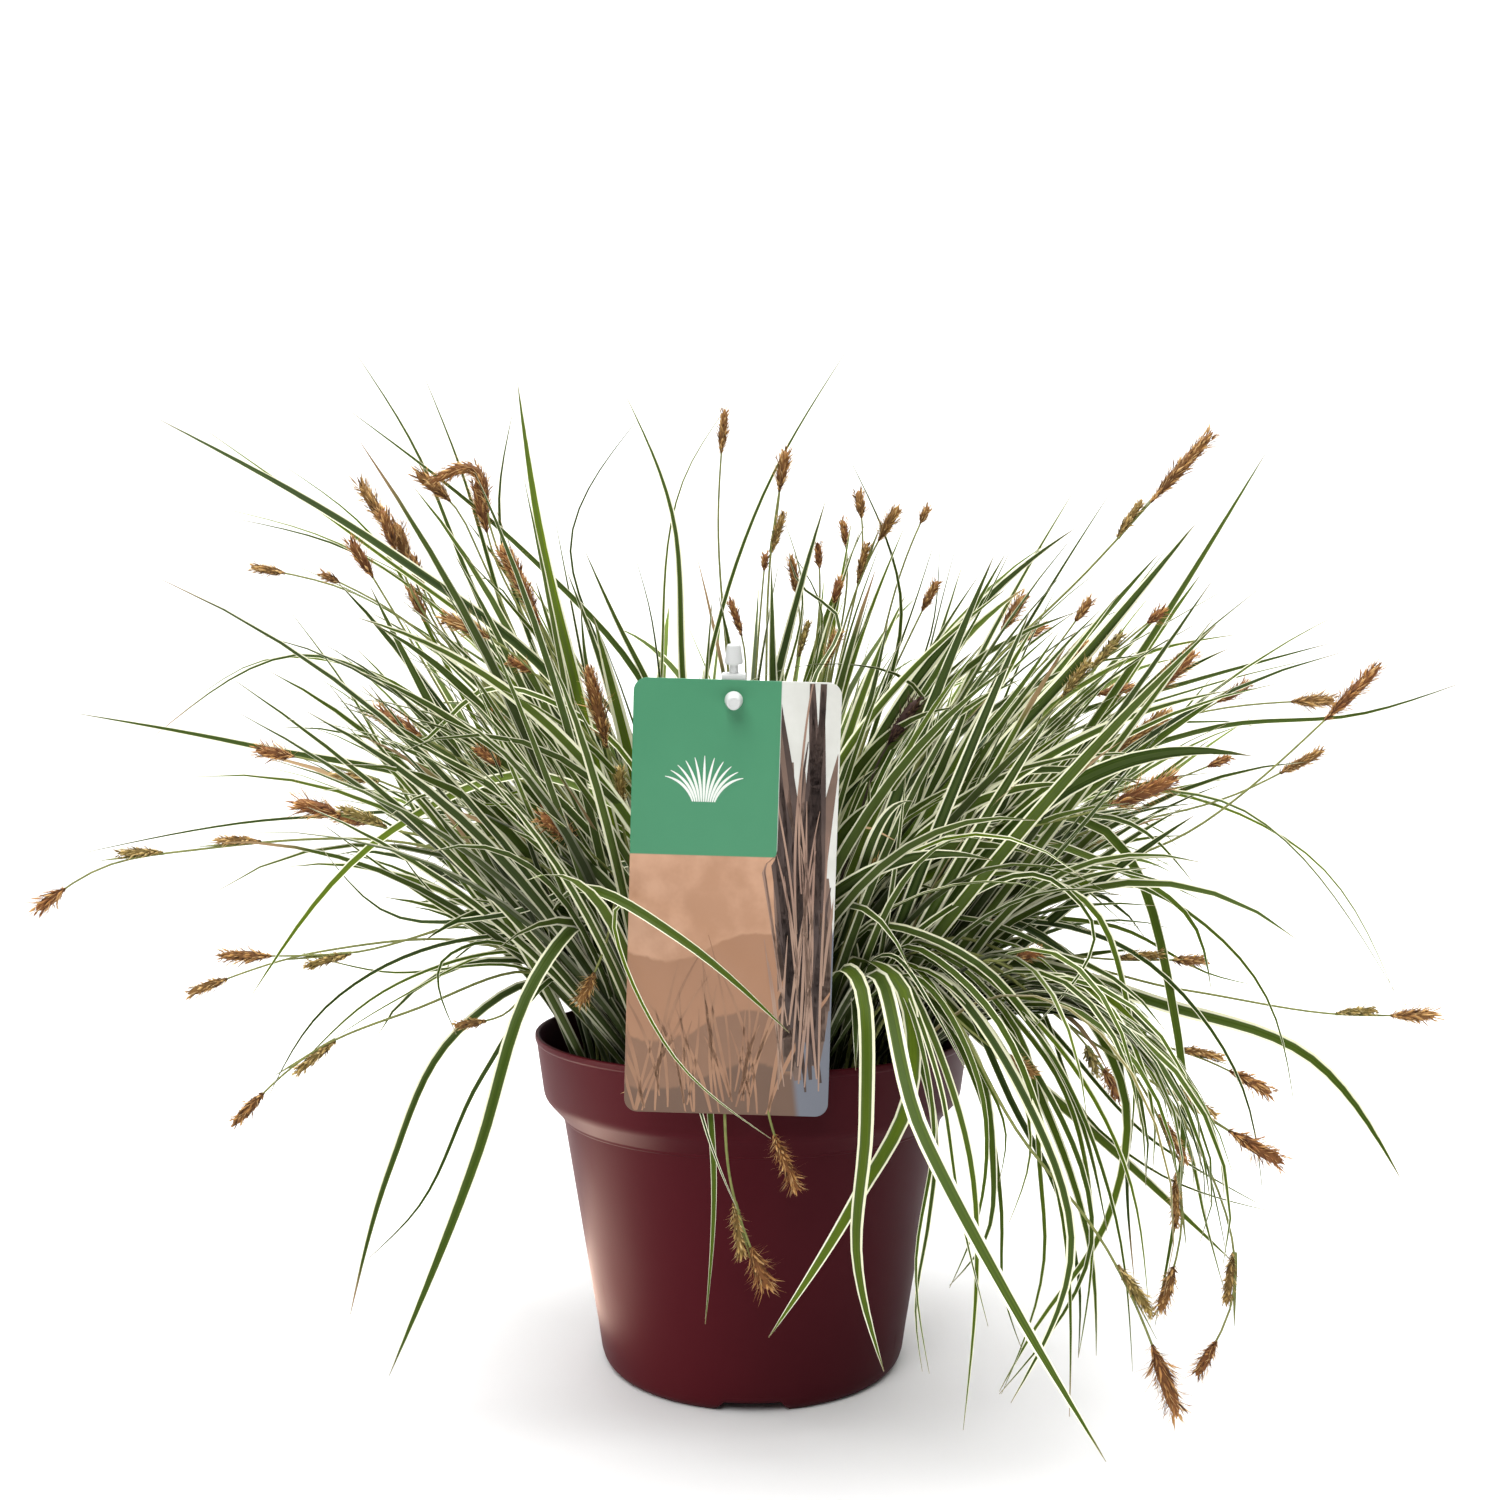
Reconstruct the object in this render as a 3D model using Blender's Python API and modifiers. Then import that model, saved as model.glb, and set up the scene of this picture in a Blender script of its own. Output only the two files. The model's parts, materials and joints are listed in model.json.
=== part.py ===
"""A clump of white-edged sedge in a round nursery pot, with its hanging plant label.

Millimetres throughout, turned into metres where a mesh is made. The origin is on the floor under the
pot's axis, +Z is up and the label is on the -Y side.
"""
import math

import bmesh
import bpy
import numpy as np
from mathutils import Matrix

MM = 0.001
GAP = 0.4

# Pot: outer radius and height of each turn of its wall
RIM_RADIUS, RIM_HEIGHT = 95.0, 142.5
BAND_RADIUS, BAND_HEIGHT = 91.0, 115.5
SHOULDER_RADIUS, SHOULDER_HEIGHT = 82.8, 107.0
FOOT_RADIUS, FOOT_BEVEL = 65.0, 2.5
WALL = 1.6
BASE_UNDER, BASE_TOP = 4.7, 6.5
FOOT_RING = 4.0
POT_STEPS = 40
NOTCHES, NOTCH_WIDE, NOTCH_NARROW = 4, 28.0, 22.0
DRAIN_HOLES, DRAIN_RADIUS, DRAIN_RING = 6, 5.0, 42.0

# Soil and the crowns that stand in it
SOIL_HEIGHT, SOIL_DOME = 125.0, 2.5
CROWN_RADIUS, CROWN_SINK, CROWN_RISE = 7.5, 12.0, 11.0
CLUMP_RADIUS, TUFTS, CROWN_SIDES = 70.0, 16, 6
GOLDEN_ANGLE = math.radians(137.508)

# Label and its stake
LABEL_WIDTH, LABEL_HEIGHT, LABEL_THICK, LABEL_CORNER = 76.0, 162.0, 0.7, 5.0
LABEL_TILT, LABEL_ROLL = math.radians(-4.8), math.radians(1.7)
PEG = (-6.9, -117.0, 283.6)
PEG_DOWN, PEG_LEFT, PEG_HOLE = 7.0, 1.4, 2.8
STAKE_LEAN, STAKE_WIDTH, STAKE_THICK, STAKE_LENGTH = math.radians(12.5), 6.0, 3.0, 222.0
BLOCK_WIDTH, BLOCK_HEIGHT, BLOCK_DEPTH = 9.0, 16.0, 5.0
PLUG_BASE, PLUG_END, PLUG_LONG, NECK_RADIUS, NECK_LONG = 3.4, 2.5, 7.2, 1.6, 3.4

# The eye that the front view is seen from. Leaf and stem places are (across, up) as seen against
# the upright plane through the pot's axis, and the depth at which the point stands.
EYE_DISTANCE, EYE_HEIGHT = 665.0, 265.0

# Blades
KEEL, TIP_KEEL = 1.1, 0.7
BLADE_CLEARANCE = 0.35
FRONT_FACING = (0.0, -0.85, 0.5)
FILLER_LEAVES, SEED = 168, 14

# Flower stems
CULM_RADIUS, CULM_RINGS, SPIKE_SIDES = 0.85, 10, 5
END_TIERS = ((0.20, 0.80, 0.45), (0.50, 1.00, 0.62), (0.78, 0.72, 0.36))
SIDE_TIERS = ((0.30, 1.00, 0.55), (0.68, 0.80, 0.40))

# Leading leaves: width, then the points passed on the way from the crown to the tip
LEADING_LEAVES = (
    (5.5, (-80, 287, -30), (-160, 352, -40), (-262, 411, -45)),
    (3.6, (-100, 300, -10), (-170, 355, -15), (-241, 406, -20)),
    (3.4, (-125, 340, 30), (-150, 400, 40), (-175, 440, 45)),
    (3.8, (-50, 297, 0), (-100, 352, 0), (-178, 415, -5)),
    (3.6, (-105, 310, 10), (-131, 395, 10), (-145, 430, 10)),
    (6.2, (-80, 300, -60), (-92, 350, -62), (-104, 428, -60)),
    (3.6, (-90, 290, 40), (-112, 375, 45), (-106, 414, 50)),
    (4.6, (-31, 300, 0), (-36, 372, 10), (-56, 422, 20)),
    (3.0, (-20, 300, 10), (5, 378, 15), (42, 442, 20)),
    (4.6, (-44, 290, -20), (-60, 322, -25), (-74, 353, -30)),
    (4.2, (-120, 240, -10), (-222, 267, -20), (-298, 281, -20)),
    (3.4, (-130, 272, 0), (-200, 307, 0), (-266, 270, -5)),
    (3.2, (-125, 315, 40), (-175, 352, 40), (-227, 367, 40)),
    (3.4, (-145, 230, -30), (-178, 290, -30), (-205, 327, -30)),
    (5.0, (-54, 235, -70), (-100, 254, -90), (-160, 229, -100), (-222, 156, -105)),
    (6.0, (-72, 190, -85), (-98, 160, -125), (-122, 85, -140), (-161, -12, -145)),
    (5.0, (-96, 162, -50), (-132, 138, -65), (-160, 80, -70), (-178, 15, -75)),
    (5.0, (-88, 192, -84), (-72, 203, -112), (-30, 180, -128), (16, 140, -130)),
    (6.0, (40, 168, -105), (48, 160, -140), (50, 100, -160), (46, 40, -165), (58, -10, -170)),
    (6.0, (48, 172, -95), (66, 160, -130), (70, 115, -150), (45, 65, -165), (7, 5, -170)),
    (6.0, (60, 172, -90), (100, 138, -120), (150, 96, -135), (213, 38, -145)),
    (6.0, (52, 166, -95), (75, 95, -155), (110, 28, -175), (156, -50, -190)),
    (5.0, (80, 165, -85), (120, 112, -110), (141, 45, -125), (114, -24, -135)),
    (4.6, (95, 165, -60), (130, 105, -95), (150, 40, -105), (152, -3, -108)),
    (6.8, (100, 168, -10), (185, 151, -25), (245, 130, -35), (287, 75, -40)),
    (4.6, (100, 233, -40), (150, 233, -55), (188, 140, -65), (178, 10, -75)),
    (5.0, (85, 228, -60), (150, 217, -75), (195, 188, -80), (203, 158, -80)),
    (4.4, (110, 210, -75), (147, 198, -90), (166, 150, -95), (167, 86, -98)),
    (3.4, (120, 235, 0), (205, 243, 0), (288, 152, -5)),
    (3.6, (140, 250, 10), (205, 275, 5), (270, 281, 0), (312, 294, 0)),
    (4.2, (130, 275, 50), (190, 294, 50), (255, 312, 50)),
    (4.6, (110, 265, 0), (175, 308, 0), (214, 316, 0)),
    (6.8, (90, 240, -40), (150, 310, -45), (196, 365, -45)),
    (5.6, (95, 250, -20), (150, 318, -15), (180, 352, -10)),
    (4.6, (120, 230, 20), (180, 320, 10), (227, 396, 10)),
    (4.4, (88, 280, 40), (120, 342, 50), (142, 379, 55)),
    (3.0, (110, 300, 60), (140, 350, 65), (158, 378, 70)),
    (3.0, (50, 260, 30), (66, 330, 25), (43, 394, 20)),
    (4.2, (35, 270, 0), (50, 320, 0), (67, 363, 0)),
    (4.4, (20, 280, 50), (35, 330, 55), (50, 365, 60)),
    (5.0, (40, 262, -70), (75, 305, -70), (113, 337, -70)),
    (3.4, (-22, 160, -94), (-20, 125, -100), (-17, 70, -108), (-21, 11, -115)),
    (4.2, (60, 260, 120), (106, 300, 175), (146, 245, 232)),
    (4.2, (-60, 250, 120), (-115, 290, 175), (-165, 225, 228)),
)

# Flower stems: the end spike's length and radius, how far below its tip each side spike starts,
# then the points passed on the way to the tip
FLOWER_STEMS = (
    (17, 4.6, (48, 88), (-110, 207, -5), (-245, 221, -8), (-290, 212, -8), (-317, 194, -8)),
    (20, 3.8, (38,), (-95, 166, -40), (-150, 150, -60), (-195, 131, -65), (-230, 99, -70)),
    (22, 4.0, (40,), (-100, 188, -45), (-180, 175, -50), (-236, 174, -50)),
    (20, 3.8, (), (-100, 172, 10), (-190, 176, 5), (-250, 157, 0)),
    (20, 4.4, (38,), (-120, 228, -60), (-185, 258, -65), (-220, 265, -65)),
    (19, 5.4, (22,), (-90, 212, -70), (-160, 230, -80), (-203, 242, -85)),
    (22, 3.8, (), (-115, 290, 50), (-180, 336, 50), (-222, 346, 50)),
    (20, 4.2, (), (-120, 260, -20), (-158, 325, -20), (-178, 358, -20)),
    (24, 4.6, (), (-105, 280, 10), (-148, 330, 10), (-164, 372, 10)),
    (32, 4.4, (), (-88, 300, -10), (-115, 360, -10), (-124, 390, -10), (-143, 383, -10)),
    (32, 4.6, (), (-66, 260, -35), (-92, 318, -40), (-112, 356, -40)),
    (22, 4.2, (), (-80, 280, -75), (-112, 312, -80), (-138, 324, -82)),
    (24, 4.2, (), (-100, 240, -60), (-146, 271, -65), (-168, 283, -68)),
    (34, 4.4, (44,), (-56, 225, -78), (-65, 268, -82), (-73, 303, -84)),
    (20, 4.4, (), (-60, 208, -78), (-80, 226, -92), (-94, 236, -96)),
    (22, 3.6, (), (-10, 290, 20), (-15, 370, 20), (-12, 416, 20)),
    (22, 4.4, (30,), (6, 290, -5), (8, 350, -5), (15, 398, -5)),
    (24, 3.8, (36,), (14, 270, 70), (21, 325, 75), (17, 351, 75)),
    (19, 4.2, (), (38, 300, 60), (49, 360, 60), (47, 380, 60)),
    (20, 4.2, (26,), (30, 280, 20), (54, 354, 15), (65, 373, 10)),
    (24, 4.4, (), (80, 270, 20), (108, 314, 20), (121, 334, 20)),
    (42, 4.6, (44,), (95, 290, -30), (150, 346, -30), (204, 406, -30)),
    (27, 5.0, (), (120, 235, -30), (174, 287, -40), (196, 309, -42)),
    (34, 5.2, (), (100, 215, -50), (158, 262, -55), (186, 283, -58)),
    (34, 4.4, (), (110, 190, -15), (200, 233, -20), (252, 277, -25), (278, 303, -25)),
    (24, 5.0, (), (120, 250, 30), (200, 282, 40), (258, 287, 45)),
    (30, 5.4, (), (100, 222, -75), (160, 241, -85), (188, 253, -88)),
    (28, 4.6, (34,), (110, 170, 20), (190, 159, 5), (260, 148, 0), (303, 148, 0)),
    (22, 4.0, (30,), (100, 172, -60), (160, 141, -75), (200, 128, -80), (230, 113, -82)),
    (27, 4.6, (34,), (90, 175, -75), (150, 136, -95), (200, 103, -105), (235, 82, -108)),
    (28, 4.2, (30,), (70, 180, -90), (120, 160, -118), (148, 134, -125), (163, 110, -127)),
    (28, 4.8, (40,), (76, 160, -95), (120, 92, -135), (153, 50, -145), (188, -30, -150)),
    (20, 4.2, (22,), (-16, 160, -94), (-13, 125, -100), (-9, 70, -108), (6, 26, -112)),
    (24, 4.2, (), (60, 250, 110), (100, 300, 150), (130, 320, 170)),
)


def seen(across, up, depth):
    """The place, at that depth, of a point seen at (across, up) on the plane through the pot's axis."""
    nearer = (EYE_DISTANCE + depth) / EYE_DISTANCE
    return (across * nearer, depth, EYE_HEIGHT + (up - EYE_HEIGHT) * nearer)


def unit(vectors):
    """Each row scaled to length 1."""
    return vectors / np.linalg.norm(vectors, axis=-1, keepdims=True)


def smooth_path(knots, count):
    """Evenly spaced points on a curve through the knots. Between two knots the curve is a cubic whose
    end slopes are the mean of the neighbouring chords, the nearer one counting more."""
    knots = np.asarray(knots, float)
    steps = np.linalg.norm(np.diff(knots, axis=0), axis=1)
    chords = np.diff(knots, axis=0) / steps[:, None]
    slopes = np.empty_like(knots)
    share = (steps[:-1] / (steps[:-1] + steps[1:]))[:, None]
    slopes[1:-1] = chords[:-1] * (1 - share) + chords[1:] * share
    slopes[0] = (3 * chords[0] - slopes[1]) / 2
    slopes[-1] = (3 * chords[-1] - slopes[-2]) / 2
    t = np.linspace(0, 1, 24, endpoint=False)[:, None]
    pieces = []
    for i, step in enumerate(steps):
        pieces.append(
            (2 * t**3 - 3 * t**2 + 1) * knots[i]
            + (t**3 - 2 * t**2 + t) * step * slopes[i]
            + (3 * t**2 - 2 * t**3) * knots[i + 1]
            + (t**3 - t**2) * step * slopes[i + 1]
        )
    fine = np.vstack(pieces + [knots[-1:]])
    return even_points(fine, count)


def even_points(fine, count):
    """That many points, evenly spaced along the line of fine points."""
    along = np.concatenate([[0], np.cumsum(np.linalg.norm(np.diff(fine, axis=0), axis=1))])
    wanted = np.linspace(0, along[-1], count)
    return np.stack([np.interp(wanted, along, fine[:, k]) for k in range(3)], axis=1)


def arching_path(root, heading, lean, bend, length, count):
    """A blade that leaves its root at that lean from upright and has leaned further, by bend, at its
    tip. Most of the bend is in the outer half, and the heading swings a little with it."""
    share = np.linspace(0, 1, 25)
    leans = lean + bend * share**1.6
    headings = heading + 0.25 * np.sin(lean * 7.0) * share
    steps = np.stack([np.sin(leans) * np.cos(headings), np.sin(leans) * np.sin(headings), np.cos(leans)], 1)
    fine = np.vstack([[0, 0, 0], np.cumsum((steps[1:] + steps[:-1]) / 2, axis=0) * length / 24])
    return even_points(np.asarray(root) + fine, count)


def segment_gaps(a0, a1, b0, b1):
    """The shortest distance between each segment a and each segment b, as an array of a by b. The
    nearest points of the two lines are found first and then kept within the segments."""
    u, v = (a1 - a0)[:, None], (b1 - b0)[None]
    w = a0[:, None] - b0[None]
    uu, uv, vv = (u * u).sum(-1), (u * v).sum(-1), (v * v).sum(-1)
    uw, vw = (u * w).sum(-1), (v * w).sum(-1)
    s = np.clip((uv * vw - vv * uw) / np.maximum(uu * vv - uv * uv, 1e-9), 0, 1)
    t = np.clip((uv * s + vw) / vv, 0, 1)
    s = np.clip((uv * t - uw) / uu, 0, 1)
    return np.linalg.norm(w + s[..., None] * u - t[..., None] * v, axis=-1)


class Space:
    """What already stands, as thick segments with the number of the node that each belongs to."""

    def __init__(self):
        self.starts, self.ends, self.radii = np.empty((0, 3)), np.empty((0, 3)), np.empty(0)
        self.owners, self.at_root = np.empty(0, int), np.empty(0, bool)

    def add(self, points, radii, owner):
        self.starts = np.vstack([self.starts, points[:-1]])
        self.ends = np.vstack([self.ends, points[1:]])
        self.radii = np.concatenate([self.radii, np.maximum(radii[:-1], radii[1:])])
        self.owners = np.concatenate([self.owners, np.full(len(points) - 1, owner)])
        self.at_root = np.concatenate([self.at_root, np.arange(len(points) - 1) == 0])

    def spare(self, points, radii, owner):
        """How far the line stays from all that stands, less both thicknesses. Only the first segments
        of blades from one crown may meet."""
        if not len(self.radii):
            return math.inf
        gaps = segment_gaps(points[:-1], points[1:], self.starts, self.ends)
        gaps -= np.maximum(radii[:-1], radii[1:])[:, None] + self.radii
        first = np.arange(len(points) - 1)[:, None] == 0
        gaps[(self.owners == owner) & (first | self.at_root)] = math.inf
        return float(gaps.min())


def pot_radius(height):
    """The pot's outer radius at that height."""
    heights = (0, FOOT_BEVEL, SHOULDER_HEIGHT, BAND_HEIGHT, RIM_HEIGHT)
    radii = (FOOT_RADIUS - FOOT_BEVEL, FOOT_RADIUS, SHOULDER_RADIUS, BAND_RADIUS, RIM_RADIUS)
    return np.interp(height, heights, radii)


def label_matrix():
    """Places the label's own frame: x across, y up from the peg hole and z towards the viewer."""
    turn = Matrix.Rotation(LABEL_ROLL, 4, "Y") @ Matrix.Rotation(math.pi / 2 - LABEL_TILT, 4, "X")
    return Matrix.Translation(PEG) @ turn


def stake_matrix():
    """Places the stake's own frame: x across, z up the stake and -y towards the label."""
    return Matrix.Translation(PEG) @ Matrix.Rotation(STAKE_LEAN, 4, "X")


def clear_of_holder(points, radii):
    """True where the line keeps off the pot's wall, the soil, the floor, the label and the stake."""
    dense = even_points(points, 60)
    thick = np.interp(np.linspace(0, 1, 60), np.linspace(0, 1, len(radii)), radii)
    away = np.hypot(dense[:, 0], dense[:, 1])
    wall = pot_radius(dense[:, 2])
    beside = dense[:, 2] < RIM_HEIGHT + thick + 1
    if (beside & (away > wall - WALL - thick - 1.5) & (away < wall + thick + 1)).any():
        return False
    if (dense[6:, 2] < SOIL_HEIGHT + SOIL_DOME + 1)[away[6:] < RIM_RADIUS].any() or dense[:, 2].min() < 8:
        return False
    for matrix, low, high in (
        (label_matrix(), (-41, -156, -1.5), (42, 12, 4)),
        (stake_matrix(), (-6, -2, -STAKE_LENGTH), (6, 10, 24)),
    ):
        own = np.hstack([dense, np.ones((len(dense), 1))]) @ np.array(matrix.inverted()).T
        inside = (own[:, :3] + thick[:, None] > low) & (own[:, :3] - thick[:, None] < high)
        if inside.all(axis=1).any():
            return False
    return True


def tuft_places():
    """Crown centres spread evenly over the soil, each a golden angle on from the last."""
    turns = np.arange(TUFTS)
    radii = CLUMP_RADIUS * np.sqrt((turns + 0.5) / TUFTS)
    angles = turns * GOLDEN_ANGLE + 0.4
    return np.stack([radii * np.cos(angles), radii * np.sin(angles)], axis=1)


def root_places(first, spots):
    """The spots, likeliest first, that a blade or stem through this first point grows from: outer
    ones lean, inner ones stand up."""
    first = np.asarray(first, float)
    flat = first[:2]
    out = np.hypot(*flat)
    rise = max(first[2] - SOIL_HEIGHT, 20.0)
    wanted = flat / max(out, 1e-6) * min(CLUMP_RADIUS, out * 60.0 / (rise + 20.0))
    return np.argsort(np.linalg.norm(spots - wanted, axis=1))


def blade_radii(width, count):
    """Half the blade's width at each ring: narrow in its sheath, then even, then a long point."""
    share = np.linspace(0, 1, count)
    return width / 2 * (0.55 + 0.45 * np.minimum(share / 0.25, 1)) * (1 - share**2.4) + 0.05


def ring_count(points):
    """Four or five rings on a straight blade and up to eight on one that droops right over."""
    headings = unit(np.diff(points, axis=0))
    turned = np.arccos(np.clip((headings[:-1] * headings[1:]).sum(1), -1, 1)).sum()
    return int(min(8, 4 + turned // 0.55))


def shifted(through, shift):
    """The points that the front view shows, all set deeper by shift, which grows towards the tip."""
    return [seen(x, z, y + shift * (0.4 + 0.6 * i)) for i, (x, z, y) in enumerate(through)]


def first_that_fits(space, tries):
    """The first of the tries with room for itself, where each is (owner, points, radii, the rest), or
    None if there is none."""
    for owner, points, radii, *rest in tries:
        if clear_of_holder(points, radii) and space.spare(points, radii, owner) > BLADE_CLEARANCE:
            space.add(points, radii, owner)
            return (owner, points, radii, *rest)
    return None


def place_leading_leaves(space, tufts):
    """The leaves that the photograph shows best. One that meets another is set deeper or nearer by a
    few millimetres, which leaves it where it is in the front view, or grows from the next crown."""
    leaves = []
    for width, *through in LEADING_LEAVES:
        def tries():
            for tuft in root_places(seen(*through[0]), tufts)[:4]:
                for shift in sorted(range(-64, 65, 4), key=abs):
                    knots = shifted(through, shift)
                    heading = math.atan2(knots[0][1] - tufts[tuft][1], knots[0][0] - tufts[tuft][0])
                    fine = smooth_path([crown_spot(tufts[tuft], heading, 4.5), *knots], 40)
                    points = even_points(fine, ring_count(fine[::5]))
                    yield tuft, points, blade_radii(width, len(points)), FRONT_FACING
        found = first_that_fits(space, tries())
        if found:
            leaves.append(found)
        else:
            print("no room for the leaf to", through[-1])
    return leaves


def crown_spot(centre, heading, out):
    """A root inside the crown, on the side that its blade leans to and just above the soil."""
    return (centre[0] + out * math.cos(heading), centre[1] + out * math.sin(heading), SOIL_HEIGHT + 4)


def place_filler_leaves(space, tufts, draw):
    """Leaves that thicken the clump, drawn until they clear the other nodes. They fan out from the
    middle, the outer ones lower, and few stand behind the label."""
    leaves, tries = [], 0
    while len(leaves) < FILLER_LEAVES and tries < 9000:
        tries += 1
        tuft = tries % TUFTS
        centre = tufts[tuft]
        out = np.hypot(*centre) / CLUMP_RADIUS
        heading = math.atan2(centre[1], centre[0]) + draw.normal(0, 0.35 + 0.8 * (1 - out))
        side = abs(math.cos(heading))
        lean = math.radians(draw.uniform(4, 18) + out * draw.uniform(14, 34))
        bend = math.radians(draw.uniform(12, 70) + 40 * draw.random() ** 3)
        length = draw.uniform(150, 215) + 75 * side * draw.random()
        width = draw.uniform(3.0, 5.4)
        root = crown_spot(centre, heading, 1.0 + 5.0 * min(lean / 0.8, 1))
        fine = arching_path(root, heading, lean, bend, length, 40)
        if np.abs(fine[:, 0]).max() > 280 or np.abs(fine[:, 1]).max() > 185:
            continue
        points = even_points(fine, ring_count(fine[::5]))
        facing = (draw.normal(0, 0.6), draw.normal(-0.3, 0.6), 0.8)
        found = first_that_fits(space, [(tuft, points, blade_radii(width, len(points)), facing)])
        if found:
            leaves.append(found)
    print(len(leaves), "filler leaves after", tries, "draws")
    return leaves


def place_flower_stems(space, tufts):
    """Each stem as its foot, its fine line from the soil to its tip, and its spikes' sizes. Feet stand
    on rings round the axis, clear of the crowns."""
    lattice = [
        (r * math.cos(a), r * math.sin(a))
        for r in np.arange(8.0, CLUMP_RADIUS + 9, 6.0)
        for a in np.arange(0, 2 * math.pi, 6.0 / r)
    ]
    spots = np.array([p for p in lattice if np.linalg.norm(tufts - p, axis=1).min() > CROWN_RADIUS + 3.2])
    stems = []
    for number, (length, radius, sides, *through) in enumerate(FLOWER_STEMS):
        def tries():
            for foot in root_places(seen(*through[0]), spots)[:12]:
                for shift in sorted(range(-48, 49, 6), key=abs):
                    low, high = (*spots[foot], SOIL_HEIGHT - 8), (*spots[foot], SOIL_HEIGHT + 6)
                    fine = smooth_path([low, high, *shifted(through, shift)], 60)
                    points = np.vstack(stem_lines(fine, length))
                    yield 100 + number, points, stem_radii(points, length, radius, sides), foot, fine
        found = first_that_fits(space, tries())
        if found:
            foot, fine = found[3:]
            stems.append((tuple(spots[foot]), fine, length, radius, sides))
            spots = spots[np.linalg.norm(spots - spots[foot], axis=1) > 4.5]
        else:
            print("no room for the stem to", through[-1])
    return stems


def stem_lines(fine, length):
    """The bare stem's points, upright through the soil and on to the middle of its end spike, and
    that spike's own points."""
    away = np.linalg.norm(fine - fine[-1], axis=1)
    above = (fine[:, 2] > SOIL_HEIGHT + 6) | (np.arange(len(fine)) > 20)
    bare = even_points(fine[above & (away > 0.45 * length)], CULM_RINGS - 2)
    upright = [(*fine[0, :2], fine[0, 2]), (*fine[0, :2], SOIL_HEIGHT + 5)]
    return np.vstack([upright, bare]), even_points(fine[away < length], 5)


def stem_radii(points, length, radius, sides):
    """Half the thickness of a stem at each point, with its spikes."""
    away = np.linalg.norm(points - points[-1], axis=1)
    radii = np.where(away < length + 2, radius, CULM_RADIUS)
    for start in sides:
        radii = np.where((away < start + 4) & (away > start - 22), 4.4, radii)
    return radii


def material(name, colour, roughness):
    made = bpy.data.materials.new(name)
    made.use_nodes = True
    shader = made.node_tree.nodes["Principled BSDF"]
    shader.inputs["Base Color"].default_value = (*colour, 1)
    shader.inputs["Roughness"].default_value = roughness
    shader.inputs["Metallic"].default_value = 0.0
    return made


def in_collection(obj, collection):
    for home in list(obj.users_collection):
        home.objects.unlink(obj)
    collection.objects.link(obj)
    return obj


def loft(name, rings, collection):
    """A closed solid through rings of equally many corners. A ring whose corners are one point ends
    it in an apex."""
    made = bmesh.new()
    loops = [[made.verts.new(np.asarray(p) * MM) for p in ring] for ring in rings]
    count = len(loops[0])
    for low, high in zip(loops, loops[1:]):
        for k in range(count):
            after = (k + 1) % count
            made.faces.new((low[k], low[after], high[after], high[k]))
    made.faces.new(loops[0][::-1])
    made.faces.new(loops[-1])
    bmesh.ops.remove_doubles(made, verts=made.verts, dist=1e-7)
    bmesh.ops.dissolve_degenerate(made, edges=made.edges, dist=1e-7)
    bmesh.ops.recalc_face_normals(made, faces=made.faces)
    mesh = bpy.data.meshes.new(name)
    made.to_mesh(mesh)
    made.free()
    obj = bpy.data.objects.new(name, mesh)
    collection.objects.link(obj)
    return obj


def along(points):
    """The unit direction at each point."""
    return unit(np.gradient(points, axis=0))


def blade(name, points, radii, facing, collection):
    """A keeled blade: flat face towards facing, a ridge down its back, and a pointed tip."""
    forward = along(points)
    facing = np.asarray(facing, float)
    normal = unit(facing - (forward @ facing)[:, None] * forward)
    side = np.cross(forward, normal)
    keel = np.linspace(KEEL, TIP_KEEL, len(points))
    rings = []
    for p, n, s, half, deep in zip(points, normal, side, radii, keel):
        rings.append((p - s * half, p + s * half, p - n * deep))
    rings[-1] = (points[-1],) * 3
    return loft(name, rings, collection)


def across_frames(points):
    """Two directions across the line at each point, carried along it without turning about it."""
    forward = along(points)
    side = np.cross(forward[0], (0.0, 1.0, 0.3))
    sides = []
    for direction in forward:
        side = side - (side @ direction) * direction
        side = side / np.linalg.norm(side)
        sides.append(side)
    sides = np.array(sides)
    return sides, np.cross(forward, sides)


def tube_rings(points, radii, count, turns):
    """Rings of count corners round the line, each turned by its own angle."""
    sides, ups = across_frames(points)
    rings = []
    for p, s, u, r, turn in zip(points, sides, ups, radii, turns):
        angles = turn + np.arange(count) * 2 * math.pi / count
        rings.append([p + r * (math.cos(a) * s + math.sin(a) * u) for a in angles])
    return rings


def spike(name, points, radius, tiers, collection):
    """A flower spike: tiers of scales whose points stand out all round a spindle. Each tier is a wide
    ring and, just past it, a narrow one turned by half a scale."""
    fine = even_points(points, 101)
    shares, sizes, turns = [0.0], [CULM_RADIUS * 1.25], [0.0]
    half_scale = math.pi / SPIKE_SIDES
    for tier, (share, wide, narrow) in enumerate(tiers):
        shares += [share, share + 0.05]
        sizes += [radius * wide, radius * narrow]
        turns += [tier * half_scale, (tier + 1) * half_scale]
    shares.append(1.0)
    sizes.append(0.3)
    turns.append(turns[-1])
    places = fine[(np.array(shares) * 100).astype(int)]
    return loft(name, tube_rings(places, sizes, SPIKE_SIDES, turns), collection)


def side_spike(name, fine, back, collection):
    """A smaller spike on the stem, starting that far below the tip and leaning off it."""
    away = np.cumsum(np.linalg.norm(np.diff(fine[::-1], axis=0), axis=1))
    at = len(fine) - 2 - int(np.searchsorted(away, back))
    forward = unit(fine[at + 1] - fine[at])
    off = np.cross(forward, (0.3, 1.0, 0.2)) * (1 if at % 2 else -1)
    axis = unit(forward + 0.32 * unit(off))
    start = fine[at] - forward * 2
    return spike(name, np.stack([start, start + axis * 10, start + axis * 19]), 3.2, SIDE_TIERS, collection)


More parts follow.
